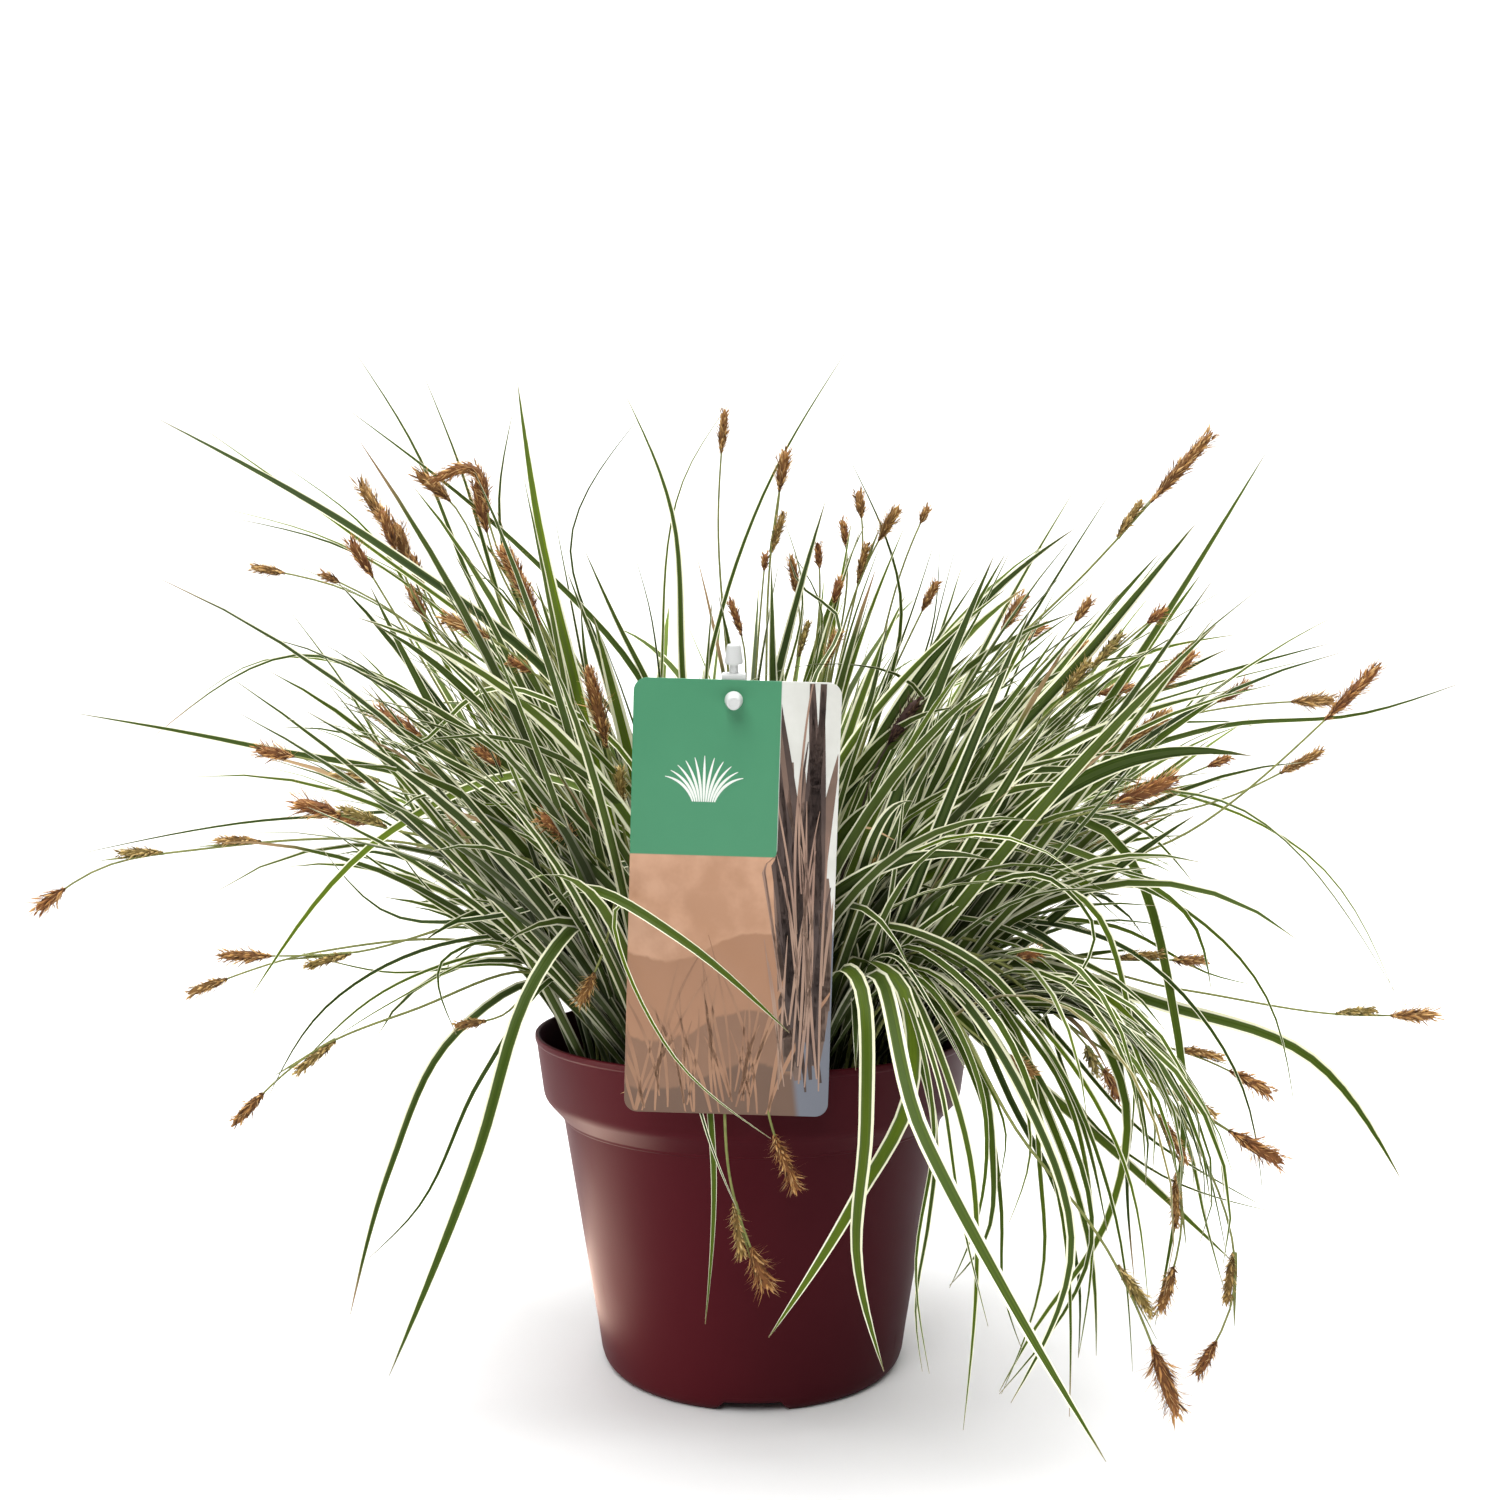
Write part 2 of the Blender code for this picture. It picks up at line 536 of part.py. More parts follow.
def union(base, collection, solver):
    """Joins everything in the collection to the base object, then removes the collection."""
    join = base.modifiers.new("join", "BOOLEAN")
    join.operation = "UNION"
    join.operand_type = "COLLECTION"
    join.collection = collection
    join.solver = solver
    bpy.context.view_layer.update()
    evaluated = base.evaluated_get(bpy.context.evaluated_depsgraph_get())
    joined = bpy.data.meshes.new_from_object(evaluated)
    base.modifiers.clear()
    base.data = joined
    keep_outer_shell(joined)
    for obj in list(collection.objects):
        bpy.data.objects.remove(obj)
    bpy.data.collections.remove(collection)
    return base


def keep_outer_shell(mesh):
    """Removes every shell but the largest: the inward-facing ones that crossing blades shut in, which
    fills those pockets, and any loose scrap."""
    made = bmesh.new()
    made.from_mesh(mesh)
    left, shells = set(made.faces), []
    while left:
        shell, ahead = [], [left.pop()]
        while ahead:
            face = ahead.pop()
            shell.append(face)
            near = {f for edge in face.edges if len(edge.link_faces) == 2 for f in edge.link_faces} & left
            left -= near
            ahead.extend(near)
        shells.append(shell)
    shells.sort(key=lambda shell: sum(face.calc_area() for face in shell))
    bmesh.ops.delete(made, geom=[face for shell in shells[:-1] for face in shell], context="FACES")
    made.to_mesh(mesh)
    made.free()


def scratch_collection(name):
    made = bpy.data.collections.new(name)
    bpy.context.scene.collection.children.link(made)
    return made


def build_tuft(number, centre, leaves, part, green):
    """One crown with its leaves sunk into it."""
    blades = scratch_collection(f"blades of tuft {number}")
    for count, (points, radii, facing) in enumerate(leaves):
        blade(f"blade {number} {count}", points, radii, facing, blades)
    deep, high = SOIL_HEIGHT - CROWN_SINK, SOIL_HEIGHT + CROWN_RISE
    angles = np.arange(CROWN_SIDES) * 2 * math.pi / CROWN_SIDES
    rings = [
        [(centre[0] + r * math.cos(a), centre[1] + r * math.sin(a), z) for a in angles]
        for r, z in ((CROWN_RADIUS - 1.5, deep), (CROWN_RADIUS, SOIL_HEIGHT), (CROWN_RADIUS - 2.5, high))
    ]
    crown = loft(f"leaf_tuft_{number + 1:02d}", rings, part)
    crown.data.materials.append(green)
    return union(crown, blades, "MANIFOLD")


def build_flower_stem(number, stem, part, brown):
    """One three-cornered stem with a spike at its end and smaller ones down its side."""
    _, fine, length, radius, sides = stem
    culm, near_tip = stem_lines(fine, length)
    spikes = scratch_collection(f"spikes of stem {number}")
    spike(f"end spike {number}", near_tip, radius, END_TIERS, spikes)
    for back in sides:
        side_spike(f"side spike {number} {back}", fine, back, spikes)
    name = f"flower_stem_{number + 1:02d}"
    bare = loft(name, tube_rings(culm, [CULM_RADIUS] * CULM_RINGS, 3, [0.0] * CULM_RINGS), part)
    bare.data.materials.append(brown)
    return union(bare, spikes, "MANIFOLD")


def turned(name, profile, part, finish):
    """A solid turned round the upright axis from its profile, a closed run of (radius, height) that
    starts and ends on the axis and goes down its outer side."""
    mesh = bpy.data.meshes.new(name)
    mesh.from_pydata(
        [(r * MM, 0, z * MM) for r, z in profile], [(i, i + 1) for i in range(len(profile) - 1)], []
    )
    obj = bpy.data.objects.new(name, mesh)
    part.objects.link(obj)
    screw = obj.modifiers.new("turn", "SCREW")
    screw.steps = screw.render_steps = POT_STEPS
    screw.use_merge_vertices = True
    screw.merge_threshold = 0.00001
    screw.use_smooth_shade = True
    obj.data.materials.append(finish)
    return obj


def cut(obj, cutters):
    """Takes everything in the cutters' collection out of the object."""
    for cutter in cutters.objects:
        cutter.hide_render = True
        cutter.display_type = "WIRE"
    bite = obj.modifiers.new("cut", "BOOLEAN")
    bite.operation = "DIFFERENCE"
    bite.operand_type = "COLLECTION"
    bite.collection = cutters
    bite.solver = "EXACT"


def build_pot(part, cutters, plastic):
    """A thin turned shell with a wide band at its rim, a raised base with drain holes and a foot ring
    with four notches."""
    inner = WALL
    profile = (
        (0, BASE_TOP),
        (FOOT_RADIUS + 1.1 - inner, BASE_TOP),
        (SHOULDER_RADIUS - inner, SHOULDER_HEIGHT + 0.6),
        (BAND_RADIUS - inner, BAND_HEIGHT + 0.6),
        (RIM_RADIUS - inner - 0.4, RIM_HEIGHT - 0.6),
        (RIM_RADIUS - 0.9, RIM_HEIGHT),
        (RIM_RADIUS, RIM_HEIGHT - 0.9),
        (BAND_RADIUS, BAND_HEIGHT),
        (SHOULDER_RADIUS, SHOULDER_HEIGHT),
        (FOOT_RADIUS, FOOT_BEVEL),
        (FOOT_RADIUS - FOOT_BEVEL, 0),
        (FOOT_RADIUS - FOOT_BEVEL - FOOT_RING, 0),
        (FOOT_RADIUS - FOOT_BEVEL - FOOT_RING - 1, BASE_UNDER),
        (0, BASE_UNDER),
    )
    pot = turned("pot", profile, part, plastic)
    for number in range(NOTCHES):
        angle = number * 2 * math.pi / NOTCHES - math.pi / 2
        out, near, far = np.array([math.cos(angle), math.sin(angle)]), FOOT_RADIUS - 12, FOOT_RADIUS + 6
        over = np.array([-out[1], out[0]])
        rings = [
            [(*(out * r + over * side * wide / 2), z) for side, wide, z in (
                (-1, NOTCH_WIDE + 2, -1), (1, NOTCH_WIDE + 2, -1),
                (1, NOTCH_NARROW, BASE_UNDER - 0.4), (-1, NOTCH_NARROW, BASE_UNDER - 0.4))]
            for r in (near, far)
        ]
        loft(f"notch {number}", rings, cutters)
    for number in range(DRAIN_HOLES):
        angle = (number + 0.5) * 2 * math.pi / DRAIN_HOLES
        bpy.ops.mesh.primitive_cylinder_add(
            vertices=10, radius=DRAIN_RADIUS * MM, depth=12 * MM,
            location=(DRAIN_RING * MM * math.cos(angle), DRAIN_RING * MM * math.sin(angle), 5.6 * MM))
        hole = bpy.context.active_object
        hole.name = f"drain {number}"
        in_collection(hole, cutters)
    cut(pot, cutters)


def build_soil(part, cutters, peat, tufts, stems):
    """The filling, clear of the wall, with a plain hole for each crown, stem and the stake."""
    inner = WALL + GAP
    low = BASE_TOP + GAP
    top_share = (SOIL_HEIGHT - BAND_HEIGHT) / (RIM_HEIGHT - BAND_HEIGHT)
    top_radius = BAND_RADIUS + (RIM_RADIUS - BAND_RADIUS) * top_share - inner - 0.6
    profile = (
        (0, SOIL_HEIGHT + SOIL_DOME),
        (0.6 * top_radius, SOIL_HEIGHT + SOIL_DOME * 0.6),
        (top_radius, SOIL_HEIGHT),
        (BAND_RADIUS - inner - 0.4, BAND_HEIGHT + 1.0),
        (SHOULDER_RADIUS - inner - 0.2, SHOULDER_HEIGHT),
        (FOOT_RADIUS + 1.0 - inner, low),
        (0, low),
    )
    soil = turned("soil", profile, part, peat)
    holes = [(x, y, CROWN_RADIUS + 1.2 * GAP, CROWN_SIDES, CROWN_SINK + GAP) for x, y in tufts]
    holes += [(*stem[0], CULM_RADIUS + 2 * GAP, 4, 8 + GAP) for stem in stems]
    for number, (x, y, radius, sides, deep) in enumerate(holes):
        angles = np.arange(sides) * 2 * math.pi / sides
        rings = [
            [(x + radius * math.cos(a), y + radius * math.sin(a), z) for a in angles]
            for z in (SOIL_HEIGHT - deep, SOIL_HEIGHT + 12)
        ]
        loft(f"soil hole {number}", rings, cutters)
    bpy.ops.mesh.primitive_cube_add(size=1)
    slot = bpy.context.active_object
    slot.name = "stake slot"
    room = 2 * GAP
    slot.data.transform(
        Matrix.Diagonal((
            (STAKE_WIDTH + room) * MM, (STAKE_THICK + room) * MM, (STAKE_LENGTH + 2 * room) * MM, 1)))
    centre = Matrix.Translation((0, stake_centre_depth() * MM, -STAKE_LENGTH / 2 * MM))
    slot.data.transform(metres(stake_matrix()) @ centre)
    in_collection(slot, cutters)
    cut(soil, cutters)


def metres(matrix):
    """The same placing with its shift in metres."""
    made = matrix.copy()
    made.translation = matrix.translation * MM
    return made


def stake_centre_depth():
    """How far the stake's middle plane is behind the label's, at the peg."""
    return LABEL_THICK / 2 + 3 * GAP + BLOCK_DEPTH / 2


def build_stake(part, plastic):
    """One moulding: a flat stake, a block at its head, and two cone-ended plugs, one through the
    label's hole and one on top."""
    extras = scratch_collection("stake pieces")
    middle = stake_centre_depth()

    def box(name, size, place, collection):
        bpy.ops.mesh.primitive_cube_add(size=1)
        obj = bpy.context.active_object
        obj.name = name
        obj.data.transform(Matrix.Translation([v * MM for v in place]) @ Matrix.Diagonal((
            size[0] * MM, size[1] * MM, size[2] * MM, 1)))
        return in_collection(obj, collection)

    def plug(name, turn, shift):
        for piece, low, high, start, long in (
            ("neck", NECK_RADIUS, NECK_RADIUS, -1.0, NECK_LONG + 1.5),
            ("cone", PLUG_BASE, PLUG_END, NECK_LONG, PLUG_LONG),
        ):
            bpy.ops.mesh.primitive_cone_add(
                vertices=14, radius1=low * MM, radius2=high * MM, depth=long * MM)
            obj = bpy.context.active_object
            obj.name = f"{name} {piece}"
            up = Matrix.Translation((0, 0, (start + long / 2) * MM))
            obj.data.transform(Matrix.Translation([v * MM for v in shift]) @ turn @ up)
            in_collection(obj, extras)

    stake = box("label_stake", (STAKE_WIDTH, STAKE_THICK, STAKE_LENGTH),
                (0, middle, -STAKE_LENGTH / 2), part)
    box("block", (BLOCK_WIDTH, BLOCK_DEPTH, BLOCK_HEIGHT), (0, middle, 9.0 - BLOCK_HEIGHT / 2), extras)
    plug("front plug", Matrix.Rotation(math.pi / 2, 4, "X"), (0, middle - BLOCK_DEPTH / 2, 0))
    plug("top plug", Matrix.Identity(4), (0, middle, 9.0))
    union(stake, extras, "EXACT")
    stake.data.transform(metres(stake_matrix()))
    stake.data.materials.append(plastic)
    return stake


def build_label(part, card):
    """A flat card with round corners and the peg's hole, as a filled outline given its thickness."""
    curve = bpy.data.curves.new("label", "CURVE")
    curve.dimensions = "2D"
    curve.fill_mode = "BOTH"
    curve.extrude = LABEL_THICK / 2 * MM
    left = -LABEL_WIDTH / 2 + PEG_LEFT
    low = PEG_DOWN - LABEL_HEIGHT
    outline = []
    for x, y, start in (
        (left + LABEL_WIDTH, PEG_DOWN, 0), (left, PEG_DOWN, 90),
        (left, low, 180), (left + LABEL_WIDTH, low, 270),
    ):
        cx = x - LABEL_CORNER if x > 0 else x + LABEL_CORNER
        cy = y - LABEL_CORNER if y > 0 else y + LABEL_CORNER
        for step in range(5):
            angle = math.radians(start + step * 22.5)
            outline.append((cx + LABEL_CORNER * math.cos(angle), cy + LABEL_CORNER * math.sin(angle)))
    hole = [(PEG_HOLE * math.cos(a), PEG_HOLE * math.sin(a)) for a in np.arange(14) * math.pi / 7]
    for points in (outline, hole):
        spline = curve.splines.new("POLY")
        spline.points.add(len(points) - 1)
        for point, (x, y) in zip(spline.points, points):
            point.co = (x * MM, y * MM, 0, 1)
        spline.use_cyclic_u = True
    obj = bpy.data.objects.new("label", curve)
    obj.matrix_world = metres(label_matrix())
    part.objects.link(obj)
    curve.materials.append(card)
    return obj


def main():
    for obj in list(bpy.data.objects):
        bpy.data.objects.remove(obj)
    part = scratch_collection("potted sedge")
    pot_cutters = scratch_collection("pot cutters")
    soil_cutters = scratch_collection("soil cutters")
    green = material("leaf", (0.14, 0.22, 0.06), 0.5)
    brown = material("flower", (0.35, 0.17, 0.05), 0.8)
    burgundy = material("pot plastic", (0.10, 0.018, 0.025), 0.45)
    peat = material("peat", (0.02, 0.013, 0.009), 0.95)
    white = material("stake plastic", (0.7, 0.7, 0.68), 0.4)
    card = material("label card", (0.12, 0.35, 0.2), 0.4)

    tufts = tuft_places()
    space = Space()
    for number, centre in enumerate(tufts):
        axis = np.array([(*centre, SOIL_HEIGHT - CROWN_SINK), (*centre, SOIL_HEIGHT + CROWN_RISE)])
        space.add(axis, np.full(2, CROWN_RADIUS), number)
    leaves = place_leading_leaves(space, tufts)
    stems = place_flower_stems(space, tufts)
    leaves += place_filler_leaves(space, tufts, np.random.default_rng(SEED))

    build_pot(part, pot_cutters, burgundy)
    build_soil(part, soil_cutters, peat, tufts, stems)
    build_stake(part, white)
    build_label(part, card)
    for number, centre in enumerate(tufts):
        own = [leaf[1:] for leaf in leaves if leaf[0] == number]
        build_tuft(number, centre, own, part, green)
    for number, stem in enumerate(stems):
        build_flower_stem(number, stem, part, brown)


main()
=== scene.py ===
"""Looks of a white-edged sedge in its nursery pot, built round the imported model.

Lengths are millimetres in the shared frame until a mesh is filled, where they become metres. The
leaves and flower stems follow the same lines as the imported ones, drawn by the same rules.
"""
import json
import math

import bmesh
import bpy
import numpy as np
from mathutils import Matrix

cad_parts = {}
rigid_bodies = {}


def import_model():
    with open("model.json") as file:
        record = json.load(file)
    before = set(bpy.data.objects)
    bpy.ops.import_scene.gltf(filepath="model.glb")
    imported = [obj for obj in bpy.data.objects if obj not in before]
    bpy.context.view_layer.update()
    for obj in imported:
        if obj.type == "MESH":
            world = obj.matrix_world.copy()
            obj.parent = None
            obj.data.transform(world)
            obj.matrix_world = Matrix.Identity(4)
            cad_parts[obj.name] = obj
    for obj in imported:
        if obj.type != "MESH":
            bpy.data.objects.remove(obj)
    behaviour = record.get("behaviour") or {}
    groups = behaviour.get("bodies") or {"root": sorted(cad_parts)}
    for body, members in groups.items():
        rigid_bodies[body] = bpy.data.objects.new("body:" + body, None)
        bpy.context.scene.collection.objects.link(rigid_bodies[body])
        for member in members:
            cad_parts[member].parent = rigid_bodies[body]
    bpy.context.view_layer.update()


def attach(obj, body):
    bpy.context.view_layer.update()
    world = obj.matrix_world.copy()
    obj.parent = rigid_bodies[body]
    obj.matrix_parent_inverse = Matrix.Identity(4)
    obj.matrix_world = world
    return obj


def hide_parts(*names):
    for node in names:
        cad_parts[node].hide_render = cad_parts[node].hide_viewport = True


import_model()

MM = 0.001
GAP = 0.4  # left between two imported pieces

# Pot and soil
RIM_RADIUS, RIM_HEIGHT = 95.0, 142.5
BAND_RADIUS, BAND_HEIGHT = 91.0, 115.5
SHOULDER_RADIUS, SHOULDER_HEIGHT = 82.8, 107.0
FOOT_RADIUS, FOOT_BEVEL, FOOT_RING = 65.0, 2.5, 4.0
WALL, BASE_UNDER, BASE_TOP = 1.6, 4.7, 6.5
NOTCHES, NOTCH_WIDE, NOTCH_NARROW = 4, 28.0, 22.0
DRAIN_HOLES, DRAIN_RADIUS, DRAIN_RING = 6, 5.0, 42.0
SOIL_HEIGHT, SOIL_DOME = 125.0, 2.5
CROWN_RADIUS, CROWN_SINK, CROWN_RISE = 7.5, 12.0, 11.0
CLUMP_RADIUS, TUFTS = 70.0, 16
GOLDEN_ANGLE = math.radians(137.508)

# Label and its stake
LABEL_WIDTH, LABEL_HEIGHT, LABEL_THICK, LABEL_CORNER = 76.0, 162.0, 0.7, 5.0
LABEL_TILT, LABEL_ROLL = math.radians(-4.8), math.radians(1.7)
PEG = (-6.9, -117.0, 283.6)
PEG_DOWN, PEG_LEFT, PEG_HOLE = 7.0, 1.4, 2.8
PANEL_RIGHT, PANEL_LOW = PEG_LEFT + 0.21 * LABEL_WIDTH, PEG_DOWN - 0.4 * LABEL_HEIGHT
STAKE_LEAN, STAKE_WIDTH, STAKE_THICK, STAKE_LENGTH = math.radians(12.5), 6.0, 3.0, 222.0
BLOCK_WIDTH, BLOCK_HEIGHT, BLOCK_DEPTH, BLOCK_TOP = 9.0, 16.0, 5.0, 9.0
PLUG_BASE, PLUG_END, PLUG_LONG, NECK_RADIUS, NECK_LONG = 3.4, 2.5, 7.2, 1.6, 3.4

# The eye of the front view. Leaf and stem places are (across, up) as seen against the upright plane
# through the pot's axis, and the depth at which the point stands.
EYE_DISTANCE, EYE_HEIGHT = 665.0, 265.0
LENS, SENSOR = 36.07, 36.0

# Blades and stems, as packed. The first three are how many points a leaf's fine line has, a stem's,
# and a line that is tested for room.
LEAF_POINTS, STEM_POINTS, TEST_POINTS = 40, 60, 60
BLADE_CLEARANCE, FLOOR_CLEARANCE = 0.35, 8
FILLER_LEAVES, MOST_TRIES, SEED = 168, 9000, 14
FILLER_ACROSS, FILLER_DEEP = 280, 185
CULM_RADIUS, CULM_RINGS = 0.85, 10
SIDE_SPIKE_ROOM = 4.4

# The boxes that blades and stems keep out of, in the label's frame and in the stake's
LABEL_ROOM = ((-41, -156, -1.5), (42, 12, 4))
STAKE_ROOM = ((-6, -2, -STAKE_LENGTH), (6, 10, 24))

# Leaves that only the look needs. In the front view these outlines hold the clump's mass, its full
# reach and the leaves that hang at its right.
EXTRA_SEED = 5
MASS = (
    (-92, 140), (-121, 170), (-143, 200), (-153, 234), (-164, 266), (-160, 297), (-164, 338),
    (-174, 366), (-152, 380), (-131, 365), (-110, 346), (-89, 346), (-70, 320), (-53, 306),
    (-36, 318), (-10, 328), (20, 336), (45, 338), (64, 348), (80, 354), (110, 346), (131, 354),
    (158, 346), (190, 356), (188, 316), (205, 288), (194, 255), (180, 234), (168, 205), (166, 170),
    (172, 140), (174, 100), (168, 60), (158, 20), (138, 10), (120, 50), (104, 90), (90, 125),
    (86, 140))
REACH = (
    (-96, 138), (-160, 140), (-215, 150), (-262, 205), (-285, 280), (-250, 345), (-262, 412),
    (-190, 432), (-130, 445), (-60, 400), (-20, 385), (30, 385), (70, 380), (110, 378), (160, 392),
    (215, 392), (250, 330), (285, 285), (268, 200), (250, 130), (225, 60), (190, 0), (150, -30),
    (110, -20), (96, 60), (86, 138))
CASCADE = (
    (48, 185), (80, 200), (115, 196), (150, 172), (180, 142), (205, 100), (222, 40), (215, -20),
    (150, -50), (90, -50), (55, 10), (70, 80), (80, 138))

# Kinds of leaves that fill the clump, as (how many, outline, feet between these radii and headings
# from the pot's axis, lean, bend, length, width), each a range. All angles are in degrees.
EXTRA_KINDS = (
    (44, CASCADE, (66, 86), (-55, 10), (35, 60), (80, 130), (120, 280), (2.4, 5.2)),
    (16, CASCADE, (66, 86), (-60, 0), (30, 50), (120, 160), (190, 330), (1.8, 4.0)),
    (70, MASS, (60, 85), (110, 265), (10, 44), (15, 85), (80, 230), (2.2, 4.6)),
    (60, MASS, (55, 84), (-70, 60), (10, 50), (15, 85), (80, 230), (2.2, 4.6)),
)

# How many more come from all over the clump, and the width from which one of them is drawn as wide
CLUMP_LEAVES = 430
WIDE_FROM = 5.2

# Where such a leaf may be. The points of its line between foot and tip keep within its outline or
# are hidden behind the pot. None is in front of the label or beyond the bounds.
FREE_RINGS = slice(6, 34)
HIDDEN_DEPTH, HIDDEN_HALF, HIDDEN_HEIGHT = 50, 88, 150
LABEL_MIDDLE, LABEL_HALF, LABEL_TOP, LABEL_FACE = -6, 52, 292, -98
MOST_DEEP, MOST_HIGH = 195, 430

# The leading leaves, as (width, places from foot to tip)
LEADING_LEAVES = (
    (5.5, (-80, 287, -30), (-160, 352, -40), (-262, 411, -45)),
    (3.6, (-100, 300, -10), (-170, 355, -15), (-241, 406, -20)),
    (3.4, (-125, 340, 30), (-150, 400, 40), (-175, 440, 45)),
    (3.8, (-50, 297, 0), (-100, 352, 0), (-178, 415, -5)),
    (3.6, (-105, 310, 10), (-131, 395, 10), (-145, 430, 10)),
    (6.2, (-80, 300, -60), (-92, 350, -62), (-104, 428, -60)),
    (3.6, (-90, 290, 40), (-112, 375, 45), (-106, 414, 50)),
    (4.6, (-31, 300, 0), (-36, 372, 10), (-56, 422, 20)),
    (3.0, (-20, 300, 10), (5, 378, 15), (42, 442, 20)),
    (4.6, (-44, 290, -20), (-60, 322, -25), (-74, 353, -30)),
    (4.2, (-120, 240, -10), (-222, 267, -20), (-298, 281, -20)),
    (3.4, (-130, 272, 0), (-200, 307, 0), (-266, 270, -5)),
    (3.2, (-125, 315, 40), (-175, 352, 40), (-227, 367, 40)),
    (3.4, (-145, 230, -30), (-178, 290, -30), (-205, 327, -30)),
    (5.0, (-54, 235, -70), (-100, 254, -90), (-160, 229, -100), (-222, 156, -105)),
    (6.0, (-72, 190, -85), (-98, 160, -125), (-122, 85, -140), (-161, -12, -145)),
    (5.0, (-96, 162, -50), (-132, 138, -65), (-160, 80, -70), (-178, 15, -75)),
    (5.0, (-88, 192, -84), (-72, 203, -112), (-30, 180, -128), (16, 140, -130)),
    (6.0, (40, 168, -105), (48, 160, -140), (50, 100, -160), (46, 40, -165), (58, -10, -170)),
    (6.0, (48, 172, -95), (66, 160, -130), (70, 115, -150), (45, 65, -165), (7, 5, -170)),
    (6.0, (60, 172, -90), (100, 138, -120), (150, 96, -135), (213, 38, -145)),
    (6.0, (52, 166, -95), (75, 95, -155), (110, 28, -175), (156, -50, -190)),
    (5.0, (80, 165, -85), (120, 112, -110), (141, 45, -125), (114, -24, -135)),
    (4.6, (95, 165, -60), (130, 105, -95), (150, 40, -105), (152, -3, -108)),
    (6.8, (100, 168, -10), (185, 151, -25), (245, 130, -35), (287, 75, -40)),
    (4.6, (100, 233, -40), (150, 233, -55), (188, 140, -65), (178, 10, -75)),
    (5.0, (85, 228, -60), (150, 217, -75), (195, 188, -80), (203, 158, -80)),
    (4.4, (110, 210, -75), (147, 198, -90), (166, 150, -95), (167, 86, -98)),
    (3.4, (120, 235, 0), (205, 243, 0), (288, 152, -5)),
    (3.6, (140, 250, 10), (205, 275, 5), (270, 281, 0), (312, 294, 0)),
    (4.2, (130, 275, 50), (190, 294, 50), (255, 312, 50)),
    (4.6, (110, 265, 0), (175, 308, 0), (214, 316, 0)),
    (6.8, (90, 240, -40), (150, 310, -45), (196, 365, -45)),
    (5.6, (95, 250, -20), (150, 318, -15), (180, 352, -10)),
    (4.6, (120, 230, 20), (180, 320, 10), (227, 396, 10)),
    (4.4, (88, 280, 40), (120, 342, 50), (142, 379, 55)),
    (3.0, (110, 300, 60), (140, 350, 65), (158, 378, 70)),
    (3.0, (50, 260, 30), (66, 330, 25), (43, 394, 20)),
    (4.2, (35, 270, 0), (50, 320, 0), (67, 363, 0)),
    (4.4, (20, 280, 50), (35, 330, 55), (50, 365, 60)),
    (5.0, (40, 262, -70), (75, 305, -70), (113, 337, -70)),
    (3.4, (-22, 160, -94), (-20, 125, -100), (-17, 70, -108), (-21, 11, -115)),
    (4.2, (60, 260, 120), (106, 300, 175), (146, 245, 232)),
    (4.2, (-60, 250, 120), (-115, 290, 175), (-165, 225, 228)),
)

